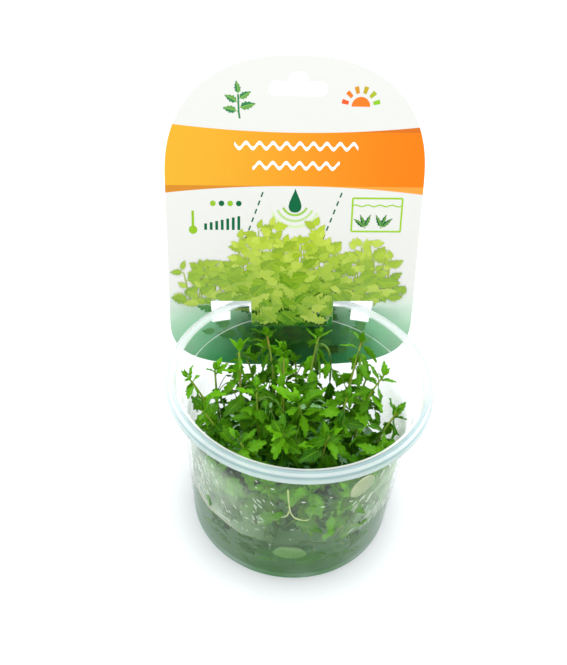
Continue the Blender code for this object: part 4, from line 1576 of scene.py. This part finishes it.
# %% Places on the wall
WALL_LEAVES = [
    (-113.4, 31.4, -99.2, 46.0, 0.0060, 0.45), (-95.1, 39.4, -79.1, 33.1, 0.0056, 0.30),
    (-85.7, 40.8, -84.8, 50.2, 0.0048, 0.55), (-74.8, 40.6, -73.9, 29.7, 0.0034, 0.70),
    (-77.1, 22.9, -72.0, 32.5, 0.0036, 0.75), (-92.2, 7.9, -75.0, 16.6, 0.0078, 0.45),
    (-125.6, 13.8, -112.7, 13.0, 0.0050, 0.15), (-112.0, 17.0, -103.0, 12.5, 0.0046, 0.30),
    (-108.6, 25.5, -102.7, 28.9, 0.0046, 0.10), (-154.3, 37.5, -142.3, 27.2, 0.0050, 0.50),
    (-68.4, 20.0, -52.1, 29.6, 0.0044, 0.50), (-60.0, 12.0, -47.0, 17.0, 0.0046, 0.35),
    (-140.0, 9.0, -128.0, 12.0, 0.0042, 0.35), (-66.0, 46.0, -56.0, 36.0, 0.0048, 0.45),
]
PALE_PADS = [(-94.3, 16.8, 0.0066, 0.0034, 0.0006), (-55.5, 48.0, 0.0060, 0.0050, 0.0024)]
PAD_THICKNESS = 0.0007
GEL_LEAVES = 40
WALL_ROOTS = [
    [(-97.9, 57.8), (-97.2, 52.0), (-96.1, 45.8), (-94.6, 42.6), (-92.8, 40.9), (-88.6, 39.6), (-86.0, 40.1)],
    [(-96.5, 45.0), (-97.4, 42.4), (-99.2, 41.2), (-102.0, 40.9)],
]
WALL_ROOT_RADIUS = 0.00036
WALL_ROOT_STEPS = 5
WALL_ROOT_LOSS = 0.6
OFF_WALL = 0.0008
KEPT_FROM_WALL = 0.0006
SUNKEN_ANGLES, SUNKEN_HEIGHTS, SUNKEN_DEPTHS = (-165, -15), (4.5, 16.5), (0.0010, 0.0050)
SUNKEN_LENGTH, SUNKEN_SLENDER, SUNKEN_TURN, SUNKEN_SLOPE = (0.007, 0.013), (0.35, 0.5), 0.5, 0.35
SUNKEN_FROM, SUNKEN_TO = 0.0020, GEL_TOP - 0.0005
WALL_AGE = 0.3


def on_wall(angle, height, off=OFF_WALL):
    """A place inside the wall, from an angle in degrees and a height in millimetres."""
    z = height / 1000
    r = inner_wall_radius(z) - off
    return Vector((r * math.cos(math.radians(angle)), r * math.sin(math.radians(angle)), z))


def wall_ways(spot):
    """The way out of the cup at a place on its wall, and the way along the wall."""
    out = Vector((spot.x, spot.y, 0.0)).normalized()
    return out, UP.cross(out)


def wall_leaf(a, z, b, top, width):
    start, end = on_wall(a, z), on_wall(b, top)
    out, _ = wall_ways(on_wall((a + b) / 2, (z + top) / 2))
    return leaf_frame(start, end - start, -out), (end - start).length, width, WALL_AGE


def gel_leaf(rng):
    """A sunken leaf: it lies along the wall, a little way into the gel."""
    angle, height = rng.uniform(*SUNKEN_ANGLES), rng.uniform(*SUNKEN_HEIGHTS)
    start = on_wall(angle, height, rng.uniform(*SUNKEN_DEPTHS))
    turn = math.radians(angle) + math.pi / 2 + rng.uniform(-SUNKEN_TURN, SUNKEN_TURN)
    sign = rng.choice((-1, 1))
    way = Vector((math.cos(turn) * sign, math.sin(turn) * sign, rng.uniform(-SUNKEN_SLOPE, SUNKEN_SLOPE)))
    length = rng.uniform(*SUNKEN_LENGTH)
    width = length * rng.uniform(*SUNKEN_SLENDER)
    frame = leaf_frame(start, way, UP * 0.6 - wall_ways(start)[0])
    held = all(SUNKEN_FROM < p.z < SUNKEN_TO and math.hypot(p.x, p.y) < inner_wall_radius(p.z) - KEPT_FROM_WALL
               for p in leaf_samples(frame, length, width))
    return (frame, length, width, WALL_AGE) if held else None


print("leaves placed on the wall:", len(WALL_LEAVES))

# %% Leaves, pads and roots on the wall
def add_ball(shape, spot, ways, segments, rings):
    """Add a ball, stretched along three ways and moved to the spot."""
    matrix = Matrix(ways).transposed().to_4x4()
    matrix.translation = spot
    bmesh.ops.create_uvsphere(shape, u_segments=segments, v_segments=rings, radius=1.0, matrix=matrix)


def pale_pads():
    """Two pale flat pads pressed against the wall."""
    shape = bmesh.new()
    for angle, height, across, up, off in PALE_PADS:
        spot = on_wall(angle, height, PAD_THICKNESS + off)
        out, side = wall_ways(spot)
        add_ball(shape, spot, (side * across, out * PAD_THICKNESS, UP * up), 24, 12)
    for vert in shape.verts:
        room = inner_wall_radius(vert.co.z) - KEPT_FROM_WALL
        reach = math.hypot(vert.co.x, vert.co.y)
        if reach > room:
            vert.co.x, vert.co.y = vert.co.x * room / reach, vert.co.y * room / reach
    mesh = mesh_from(shape, "pads")
    mesh.shade_smooth()
    scrap = mottled("pale_scrap", 250.0, hue(168, 182, 134), hue(190, 194, 156), Roughness=0.5,
                    Subsurface_Weight=0.2, Subsurface_Scale=0.001)
    return add_object("pads", mesh, scrap)


def make_wall_bits(rng):
    green = Blades()
    for *place, tint in WALL_LEAVES:
        green.add(wall_leaf(*place), tint, rng)
    for _ in range(GEL_LEAVES):
        leaf = gel_leaf(rng)
        if leaf:
            green.add(leaf, rng.uniform(0.2, 1.0), rng)
    roots = []
    for spots in WALL_ROOTS:
        line = smooth_line([on_wall(*spot) for spot in spots], WALL_ROOT_STEPS)
        roots.append(tapered(line, WALL_ROOT_RADIUS, WALL_ROOT_LOSS))
    items = [green.piece("wall_leaves", GREEN), pale_pads(), rods("wall_roots", roots, ROOT)]
    return dress(joined(items, "wall_leaves"), "leaf")


wall_bits = make_wall_bits(plant_rng)
print(count(wall_bits))

# %% [markdown]
# ## Streaks of water
# The air in the cup is damp, so drops hang on the inside of the wall. On the left they have run together into
# short slanted streaks, on the right into longer ones, and a few in the middle lie level. Painting them on
# the wall would give them no edge to catch the light, so each is a thin flattened ball, all in one mesh. Each
# row gives a number, the angles and heights between which they lie, a length and a slant.

# %% Drops and streaks
STREAKS = [
    (110, -166, -112, 27, 60, 0.0030, -0.66),
    (34, -66, -32, 24, 58, 0.0046, 0.70),
    (16, -116, -62, 22, 58, 0.0022, 0.10),
]
DROP_THICKNESS = 0.00022
DROP_THIN, DROP_WIDER = 0.00003, 0.00009
DROP_LENGTH, DROP_TILT = (0.35, 1.0), 0.25
DROP_BUNCHES = 6
DROP_SPREAD = 5.0
LEVEL_SLANT = 0.3


def drop_finish():
    # painted highlight, partly real: the water is milky white rather than clear, so the streaks show white like
    # their glints
    finish = Finish("water_drops", Roughness=0.12, IOR=1.20, Transmission_Weight=0.40)
    finish.paint(Base_Color=finish.mix(finish.noise(500.0), (0.96, 0.99, 0.96, 1.0), (0.90, 0.95, 0.91, 1.0)))
    return finish


def make_drops(rng):
    shape = bmesh.new()
    for number, first, last, low, high, length, slant in STREAKS:
        middles = [(rng.uniform(first, last), rng.uniform(low, high)) for _ in range(DROP_BUNCHES)]
        for _ in range(number):
            middle = rng.choice(middles)
            height = min(max(rng.gauss(middle[1], DROP_SPREAD), low), high)
            spot = on_wall(rng.gauss(middle[0], DROP_SPREAD), height, DROP_THICKNESS)
            out, side = wall_ways(spot)
            tilt = slant + rng.uniform(-DROP_TILT, DROP_TILT)
            along = side if abs(slant) < LEVEL_SLANT else UP * math.cos(tilt) + side * math.sin(tilt)
            half = length * rng.uniform(*DROP_LENGTH) / 2
            thin = DROP_THIN + DROP_WIDER * rng.random() ** 2
            add_ball(shape, spot, (along * half, along.cross(out) * thin, out * DROP_THICKNESS), 8, 6)
    mesh = mesh_from(shape, "mist_drops")
    mesh.shade_smooth()
    return dress(add_object("mist_drops", mesh, drop_finish()), "cup_plastic")


drops = make_drops(random.Random(3))
print(count(drops))

# %% [markdown]
# ## Mist
# Between the streaks the wall is misted white, most at the left and right, and along the gel on the left.
# Real mist is millions of tiny drops. Roughening the clear wall wasn't enough, because a rough clear wall
# stays dark in front of dark leaves, so the mist is a film of its own just inside the wall. It is white at the
# sides, with painted green light from the plants in the middle, and its Alpha says how much of it there is at
# each place.

# %% Film of mist
FILM_LOW, FILM_HIGH = 0.0206, 0.0598
FILM_OFF = 0.0005
FILM_THICKNESS = 0.00008
FILM_ROWS = 16
LEFT_MIST, RIGHT_MIST, FRONT_MIST = (-0.044, -0.008), (0.012, 0.044), (-0.016, 0.038)
FILM_LOW_FADE, FILM_HIGH_FADE = (FILM_LOW, FILM_LOW + 0.003), (FILM_HIGH - 0.012, FILM_HIGH)
GEL_BAND = (0.0225, 0.0285)


def film_finish():
    """Fine mist: white at the sides, with painted green light from the plants in the middle, and more or less
    see-through from place to place.
    """
    finish = Finish("mist_film", Roughness=0.6, Specular_IOR_Level=0.2)
    x, y, z = [finish.at(axis) for axis in "xyz"]
    cloud = finish.noise(70.0, 4.0, 0.6).step(0.35, 0.68)
    left, right = 1 - x.step(*LEFT_MIST), x.step(*RIGHT_MIST)
    front = 1 - (y + cloud * 0.008).step(*FRONT_MIST)
    edge = (z - cloud * 0.002).step(*FILM_LOW_FADE) * (1 - z.step(*FILM_HIGH_FADE))
    band = left * (1 - z.step(*GEL_BAND)) * 0.36
    misted = (left * 0.52 + right * 0.62 + 0.05) * (cloud * 0.7 + 0.5) + band
    # painted light: the mist is white at the sides and takes the plants' green in the middle
    mist_and_painted_green = finish.mix(left.most(right * 0.7), hue(176, 214, 150), hue(222, 236, 222))
    finish.paint(Base_Color=finish.mix(band * 3, mist_and_painted_green, hue(214, 212, 190)), Alpha=misted * front * edge)
    return finish


def make_film():
    rows = [FILM_LOW + (FILM_HIGH - FILM_LOW) * i / FILM_ROWS for i in range(FILM_ROWS + 1)]
    item = turned("mist_film", [(inner_wall_radius(z) - FILM_OFF, z) for z in rows], CUP_TURNS, film_finish())
    solid = item.modifiers.new("thickness", "SOLIDIFY")
    solid.thickness = FILM_THICKNESS
    return dress(bake_modifiers(item), "cup_plastic")


film = make_film()
print(count(film))

# %% [markdown]
# ## Card: inks
# Inks on a real card have no height. Here they are flat shapes laid over the board and bent with it, which
# keeps their edges sharp close up. Each is a hair higher than the one before, so that none flickers through
# another, and the whole stack stays under a millimetre. Each shape is a strip between two lines drawn on the
# flat blank, so one helper serves leaves, strokes and discs. A shape is only printed where the board is
# whole, so none of them hangs over a cut.

# %% Where the board is whole
CUT_MARGIN = 0.0002
EDGE_MARGIN = 0.0006


def trim_lines():
    """Planes along the edges of the cuts, a hair inside the board, and along its bends."""
    sides = (TONGUE_HALF - CUT_MARGIN, TONGUE_HALF + CUT_WIDTH + CUT_MARGIN, SQUARE_IN - CUT_MARGIN,
             SQUARE_OUT + CUT_MARGIN)
    rows = (SQUARE_TOP + CUT_MARGIN, 0.0, STRIP_TOP - CUT_MARGIN, SQUARE_BOTTOM - CUT_MARGIN, -CARD_BEND,
            TONGUE_BOTTOM + CUT_MARGIN, TONGUE_BOTTOM - CUT_WIDTH - CUT_MARGIN)
    row_planes, column_planes = across_card([x * sign for x in sides for sign in (-1, 1)], rows)
    return column_planes + row_planes


def inside_outline(x, v):
    """True where the flat card's lower part and sides have board, up to a margin."""
    side = abs(x) / (CARD_HALF_WIDTH - EDGE_MARGIN)
    drop = max(0.0, CARD_BOTTOM + CARD_BOTTOM_ARCH - v) / (CARD_BOTTOM_ARCH - EDGE_MARGIN)
    return side ** CARD_ARCH_POWER + drop ** CARD_ARCH_POWER < 1


def board_whole(x, v):
    """True where the flat card has board, and not a cut."""
    side = abs(x)
    if v > SQUARE_TOP + CUT_MARGIN or side > SQUARE_OUT + CUT_MARGIN:
        return True
    if side < TONGUE_HALF - CUT_MARGIN and v > TONGUE_BOTTOM + CUT_MARGIN:
        return True
    hole = SQUARE_BOTTOM if side > SQUARE_IN - CUT_MARGIN else STRIP_TOP
    slit = TONGUE_BOTTOM - CUT_WIDTH if side < TONGUE_HALF + CUT_WIDTH + CUT_MARGIN else hole
    return v < slit - CUT_MARGIN


TRIM_LINES = trim_lines()
print("planes that trim the inks:", len(TRIM_LINES))

# %% Inks
INK_LIFT = CARD_THICKNESS / 2 + 0.00002
INK_STEP = 4e-7
INK_NEAR = 1e-7
DISC_STEPS = 16


class Inks:
    """Collects printed shapes as one mesh with a colour at each point."""

    def __init__(self):
        self.points, self.faces, self.colors, self.shapes = [], [], [], 0

    def strip(self, left, right, color):
        """Print between two lines of (x, v), unless they run past the card's edge."""
        if any(not inside_outline(x, v) for x, v in left + right):
            return
        lift = INK_LIFT + INK_STEP * self.shapes
        self.shapes += 1
        first = len(self.points)
        for a, b in zip(left, right):
            self.points += [(*a, lift), (*b, lift)]
            self.colors += [color, color]
        for i in range(len(left) - 1):
            a = first + 2 * i
            self.faces.append((a, a + 1, a + 3, a + 2))

    def stroke(self, line, width, color):
        left, right = [], []
        for i, (x, v) in enumerate(line):
            before, after = line[max(0, i - 1)], line[min(len(line) - 1, i + 1)]
            across = Vector((before[1] - after[1], after[0] - before[0])).normalized() * (width / 2)
            left.append((x + across.x, v + across.y))
            right.append((x - across.x, v - across.y))
        self.strip(left, right, color)

    def disc(self, center, radius, color):
        left = arc(center, radius, 180, 0, DISC_STEPS)
        right = [(x, 2 * center[1] - v) for x, v in left]
        self.strip(left, right, color)

    def leaf(self, foot, angle, length, width, color, rib):
        """A toothed leaf as two strips, with a paler line for its midrib."""
        along = Vector((math.cos(angle), math.sin(angle)))
        across = Vector((-along.y, along.x))
        rows = [(t, share * blade_width(t) * width / 2) for t, share, _ in BLADE_ROWS]
        bend = 0.12 * length * (1 if along.x < 0 else -1)

        def at(t, off):
            p = Vector(foot) + along * (length * t) + across * (off + bend * t * t)
            return (p.x, p.y)

        left = [at(t, reach) for t, reach in rows]
        right = [at(t, -reach) for t, reach in rows]
        middle = [at(t, 0.0) for t, _ in rows]
        self.strip(left, middle, color)
        self.strip(middle, right, blend(color, rib, 0.35))
        self.stroke([at(t, 0.0) for t, _ in rows[:-1]], width * 0.07, rib)

    def piece(self, name, finish):
        """Trim the shapes along the card's cuts while they are flat, then bend them with the card."""
        mesh = bpy.data.meshes.new(name)
        mesh.from_pydata(self.points, [], self.faces)
        ink = mesh.attributes.new("ink", "FLOAT_COLOR", "POINT")
        ink.data.foreach_set("color", [c for color in self.colors for c in color])
        shape = bmesh.new()
        shape.from_mesh(mesh)
        cut_along(shape, TRIM_LINES, INK_NEAR)
        stray = [face for face in shape.faces if not board_whole(*face.calc_center_median().xy)]
        bmesh.ops.delete(shape, geom=stray, context="FACES")
        for vert in shape.verts:
            vert.co = card_place(*vert.co)
        shape.normal_update()
        for face in shape.faces:
            if face.normal.y > 0:
                face.normal_flip()
        shape.to_mesh(mesh)
        shape.free()
        return add_object(name, mesh, finish)


# %% Ink colours
LEAF_GREEN, DARK_GREEN, LIGHT_GREEN = hue(140, 185, 40), hue(14, 98, 60), hue(150, 195, 80)
SIGN_GREEN = hue(60, 128, 80)


def ink_finish(name, grain):
    """The colour that each point stores, with a grain of green where grain is more than 0."""
    finish = Finish(name, Roughness=0.50, Specular_IOR_Level=0.08)
    ink = finish.node("ShaderNodeAttribute", {"attribute_name": "ink"}, out=0)
    if grain:
        ink = finish.mix(finish.noise(260.0).step(0.25, 0.75) * grain, ink, hue(112, 150, 24))
    finish.paint(Base_Color=ink)
    return finish


def blend(first, second, share):
    """Two colours blended by a share, which is held between 0 and 1."""
    share = min(1.0, max(0.0, share))
    return tuple(a * (1 - share) + b * share for a, b in zip(first, second))


print("half way from dark to light green:", [round(c, 3) for c in blend(DARK_GREEN, LIGHT_GREEN, 0.5)])

# %% [markdown]
# ## Card: printed leaves
# The bank of leaves along the card's lower half is grown like the real sprigs but flat: stems with leaves on
# both sides, higher in the middle, yellow-green at the top and bluer towards the bottom. It could be one
# drawn shape that repeats, but the eye finds a repeat at once. Larger and darker leaves stand behind it.

# %% Printed bank of leaves
BANK_TOP, BANK_DROP = 0.0355, 0.0170
BANK_STEMS, BANK_HALF, BANK_FOOT, BANK_LEAN = 40, 0.044, -0.008, 0.004
BANK_STROKE = 0.00045
BANK_LENGTH, BANK_PITCH, BANK_SLENDER = (0.0045, 0.0092), (0.0020, 0.0036), (0.44, 0.6)
LOWER_LEAVES, LOWER_SPREAD, LOWER_HEIGHTS, LOWER_LENGTH = 130, 0.013, (-0.030, 0.008), (0.006, 0.011)
GREEN_JOIN = 0.012
TOP_GREEN, MIDDLE_GREEN, LOW_GREEN = hue(176, 200, 50), hue(116, 160, 22), hue(70, 134, 30)
SHADE_GREEN, PALE_GREEN, BRIGHT_GREEN = hue(36, 104, 20), hue(222, 236, 150), hue(226, 236, 120)


def bank_green(v, change):
    """The green of a leaf at height v, darker where change is above 0 and brighter where it is below."""
    if v > GREEN_JOIN:
        color = blend(MIDDLE_GREEN, TOP_GREEN, (v - GREEN_JOIN) / 0.016)
    else:
        color = blend(LOW_GREEN, MIDDLE_GREEN, (v + GREEN_JOIN) / (2 * GREEN_JOIN))
    return blend(color, SHADE_GREEN, change) if change > 0 else blend(color, BRIGHT_GREEN, -change)


def print_bank(inks, rng):
    leaves = []
    for i in range(BANK_STEMS):
        x = -BANK_HALF + 2 * BANK_HALF * (i + rng.uniform(-0.3, 0.3)) / (BANK_STEMS - 1)
        top = BANK_TOP - BANK_DROP * (x / 0.045) ** 2 + rng.uniform(-0.014, 0.002)
        lean = rng.uniform(-BANK_LEAN, BANK_LEAN)
        v = BANK_FOOT + 0.010 * (x / BANK_HALF) ** 2 + rng.uniform(0.0, 0.003)
        stem = []
        side = 1
        while v < top:
            share = max(0.0, (v - BANK_FOOT) / (top - BANK_FOOT))
            foot = (x + lean * share * share, v)
            stem.append(foot)
            angle = math.pi / 2 + side * rng.uniform(0.5, 1.5)
            length = rng.uniform(*BANK_LENGTH) * (1.1 - 0.30 * share)
            leaves.append((v, foot, angle, length))
            side = -side
            v += rng.uniform(*BANK_PITCH)
        leaves.append((top, (x + lean, top - 0.002), math.pi / 2 + rng.uniform(-0.4, 0.4), 0.0046))
        inks.stroke(stem, BANK_STROKE, blend(TOP_GREEN, DARK_GREEN, 0.25))
    leaves.sort(key=lambda leaf: -leaf[0] + rng.uniform(-0.006, 0.006))
    for v, foot, angle, length in leaves:
        color = bank_green(v, rng.uniform(-0.45, 0.42))
        color = blend(color, PALE_GREEN, 0.16 * min(1.0, abs(foot[0]) / 0.030))
        rib = blend(color, TOP_GREEN, 0.5)
        inks.leaf(foot, angle, length, length * rng.uniform(*BANK_SLENDER), color, rib)


def print_lower_leaves(inks, rng):
    """Larger and darker leaves behind the bank, down to the part of the card that hangs behind the cup."""
    for _ in range(LOWER_LEAVES):
        x = rng.gauss(0.0, LOWER_SPREAD)
        foot = (x, rng.uniform(*LOWER_HEIGHTS) - abs(x) * 0.1)
        deep = blend(hue(4, 70, 4), hue(28, 122, 30), rng.uniform(0.0, 1.0))
        deep = blend(deep, hue(86, 156, 96), (abs(x) - 0.014) / 0.016)
        color = blend(deep, MIDDLE_GREEN, (foot[1] + 0.008) / 0.016)
        length = rng.uniform(*LOWER_LENGTH)
        angle = math.pi / 2 + rng.uniform(-1.5, 1.5)
        inks.leaf(foot, angle, length, length * 0.5, color, blend(color, TOP_GREEN, 0.12))


leaf_inks = Inks()
print_rng = random.Random(11)
print_lower_leaves(leaf_inks, print_rng)
print_bank(leaf_inks, print_rng)
bank = dress(leaf_inks.piece("card_leaf_print", ink_finish("printed_ink", 0.15)), "card_board")
print(count(bank), f"- the ink stack is {1000 * INK_STEP * leaf_inks.shapes:.2f} mm high")

# %% [markdown]
# ## Card: printed signs
# The signs above the bank are plain ones that any plant label could carry: a sprig, a sun, a rod with bars
# and dots, a drop over ripples, and a tank with two shoots. Each is its own short function, drawn round one
# point.

# %% Upper signs: a sprig and a sun
SPRIG_AT, SUN_AT = (-0.0225, 0.0800), (0.0240, 0.0805)
SIGN_LEAVES = ((0.0000, 160, 0.0060), (0.0012, 22, 0.0068), (0.0032, 145, 0.0058), (0.0044, 38, 0.0056),
               (0.0060, 92, 0.0052))
SIGN_SLENDER, SIGN_STROKE = 0.42, 0.0007
SUN_RADIUS, RAY_RADIUS, RAY_LENGTH, RAY_TURN = 0.0036, 0.0062, 0.0026, 7
SUN_ORANGE, FIRST_RAY, LAST_RAY = hue(244, 120, 40), hue(120, 200, 40), hue(240, 90, 40)


def print_sprig(inks, x, v):
    for rise, angle, length in SIGN_LEAVES:
        foot = (x, v - 0.002 + rise)
        inks.leaf(foot, math.radians(angle), length, length * SIGN_SLENDER, SIGN_GREEN, LIGHT_GREEN)
    inks.stroke([(x + 0.0006, v - 0.0045), (x + 0.0002, v - 0.0020), (x, v + 0.0042)], SIGN_STROKE, SIGN_GREEN)


def print_sun(inks, x, v):
    """Half a sun with six rays."""
    top = arc((x, v), SUN_RADIUS, 180, 0, DISC_STEPS)
    inks.strip(top, [(a, v) for a, _ in top], SUN_ORANGE)
    for angle in range(15, 180, 30):
        ray = arc((x, v), RAY_RADIUS, angle - RAY_TURN, angle + RAY_TURN, 3)
        inks.stroke(ray, RAY_LENGTH, blend(FIRST_RAY, LAST_RAY, angle / 165))


sign_inks = Inks()
print_sprig(sign_inks, *SPRIG_AT)
print_sun(sign_inks, *SUN_AT)
print("shapes in the upper signs:", sign_inks.shapes)

# %% Middle signs: a rod with bars and dots, a drop over ripples
GAUGE_AT, DROP_AT = (-0.0405, 0.0345), (0.0000, 0.0425)
GAUGE_BARS, BAR_PITCH, BAR_RISE = 7, 0.0022, 0.0005
GAUGE_DOTS, DOT_PITCH, DOT_RADIUS = 4, 0.0034, 0.0011
DROP_SIDE = ((0.0, 0.0066), (0.0006, 0.0050), (0.0015, 0.0030), (0.0023, 0.0010), (0.0026, -0.0006),
             (0.0022, -0.0020), (0.0012, -0.0028), (0.0, -0.0030))
RIPPLE_RADII, RIPPLE_STROKE, PALE_RIPPLE = (0.0052, 0.0076, 0.0100), 0.0009, hue(225, 240, 195)


def print_gauge(inks, x, v):
    inks.stroke([(x, v - 0.001), (x, v + 0.0055)], 0.0010, LEAF_GREEN)
    inks.disc((x, v - 0.0022), 0.0017, LEAF_GREEN)
    for i in range(GAUGE_BARS):
        bar = x + 0.005 + BAR_PITCH * i
        inks.stroke([(bar, v - 0.0022), (bar, v + 0.0004 + BAR_RISE * i)], DOT_RADIUS, DARK_GREEN)
    for i in range(GAUGE_DOTS):
        inks.disc((x + 0.0080 + DOT_PITCH * i, v + 0.0085), DOT_RADIUS, DARK_GREEN if i % 2 else LEAF_GREEN)


def print_drop(inks, x, v):
    inks.strip([(x - a, v + b) for a, b in DROP_SIDE], [(x + a, v + b) for a, b in DROP_SIDE], DARK_GREEN)
    for i, radius in enumerate(RIPPLE_RADII):
        color = blend(LIGHT_GREEN, PALE_RIPPLE, i / len(RIPPLE_RADII))
        inks.stroke(arc((x, v + 0.0012), radius, 205, 335, 20), RIPPLE_STROKE, color)


print_gauge(sign_inks, *GAUGE_AT)
print_drop(sign_inks, *DROP_AT)
print("shapes with the middle signs:", sign_inks.shapes)

# %% Tank and broken lines
TANK_BOX = (0.0230, 0.0320, 0.0430, 0.0455)
TANK_GREEN = hue(150, 200, 40)
TANK_STROKE, WATER_STROKE, WATER_POINTS, WATER_DEPTH, WATER_WAVE = 0.0007, 0.0005, 17, 0.0030, 0.0004
TUFTS, TUFT_ANGLES, TUFT_LENGTH, TUFT_WIDTH = ((0.0055, 15), (0.0120, -12)), (90, 62, 118), 0.0062, 0.0016
BROKEN_AT, BROKEN_TOP, BROKEN_REACH, DASHES, DASH_SHARE = (-0.0128, 0.0185), 0.0476, (0.0085, 0.0236), 7, 0.55


def print_tank(inks, left, low, right, high):
    corners = [(left, low), (right, low), (right, high), (left, high)]
    for a, b in zip(corners, corners[1:] + corners[:1]):
        inks.stroke([a, b], TANK_STROKE, TANK_GREEN)
    water = [(left + (right - left) * k / (WATER_POINTS - 1),
              high - WATER_DEPTH + WATER_WAVE * math.sin(k * 1.6)) for k in range(WATER_POINTS)]
    inks.stroke(water, WATER_STROKE, TANK_GREEN)
    for off, tilt in TUFTS:
        for angle in TUFT_ANGLES:
            foot = (left + off, low + 0.0012)
            inks.leaf(foot, math.radians(angle + tilt), TUFT_LENGTH, TUFT_WIDTH, DARK_GREEN, LIGHT_GREEN)


def print_broken_line(inks, x):
    for k in range(DASHES):
        ends = [(x - BROKEN_REACH[0] * share, BROKEN_TOP - BROKEN_REACH[1] * share)
                for share in (k / DASHES, (k + DASH_SHARE) / DASHES)]
        inks.stroke(ends, 0.0006, DARK_GREEN)


print_tank(sign_inks, *TANK_BOX)
for x in BROKEN_AT:
    print_broken_line(sign_inks, x)
signs = dress(sign_inks.piece("card_sign_print", ink_finish("sign_ink", 0)), "card_board")
print(count(signs))
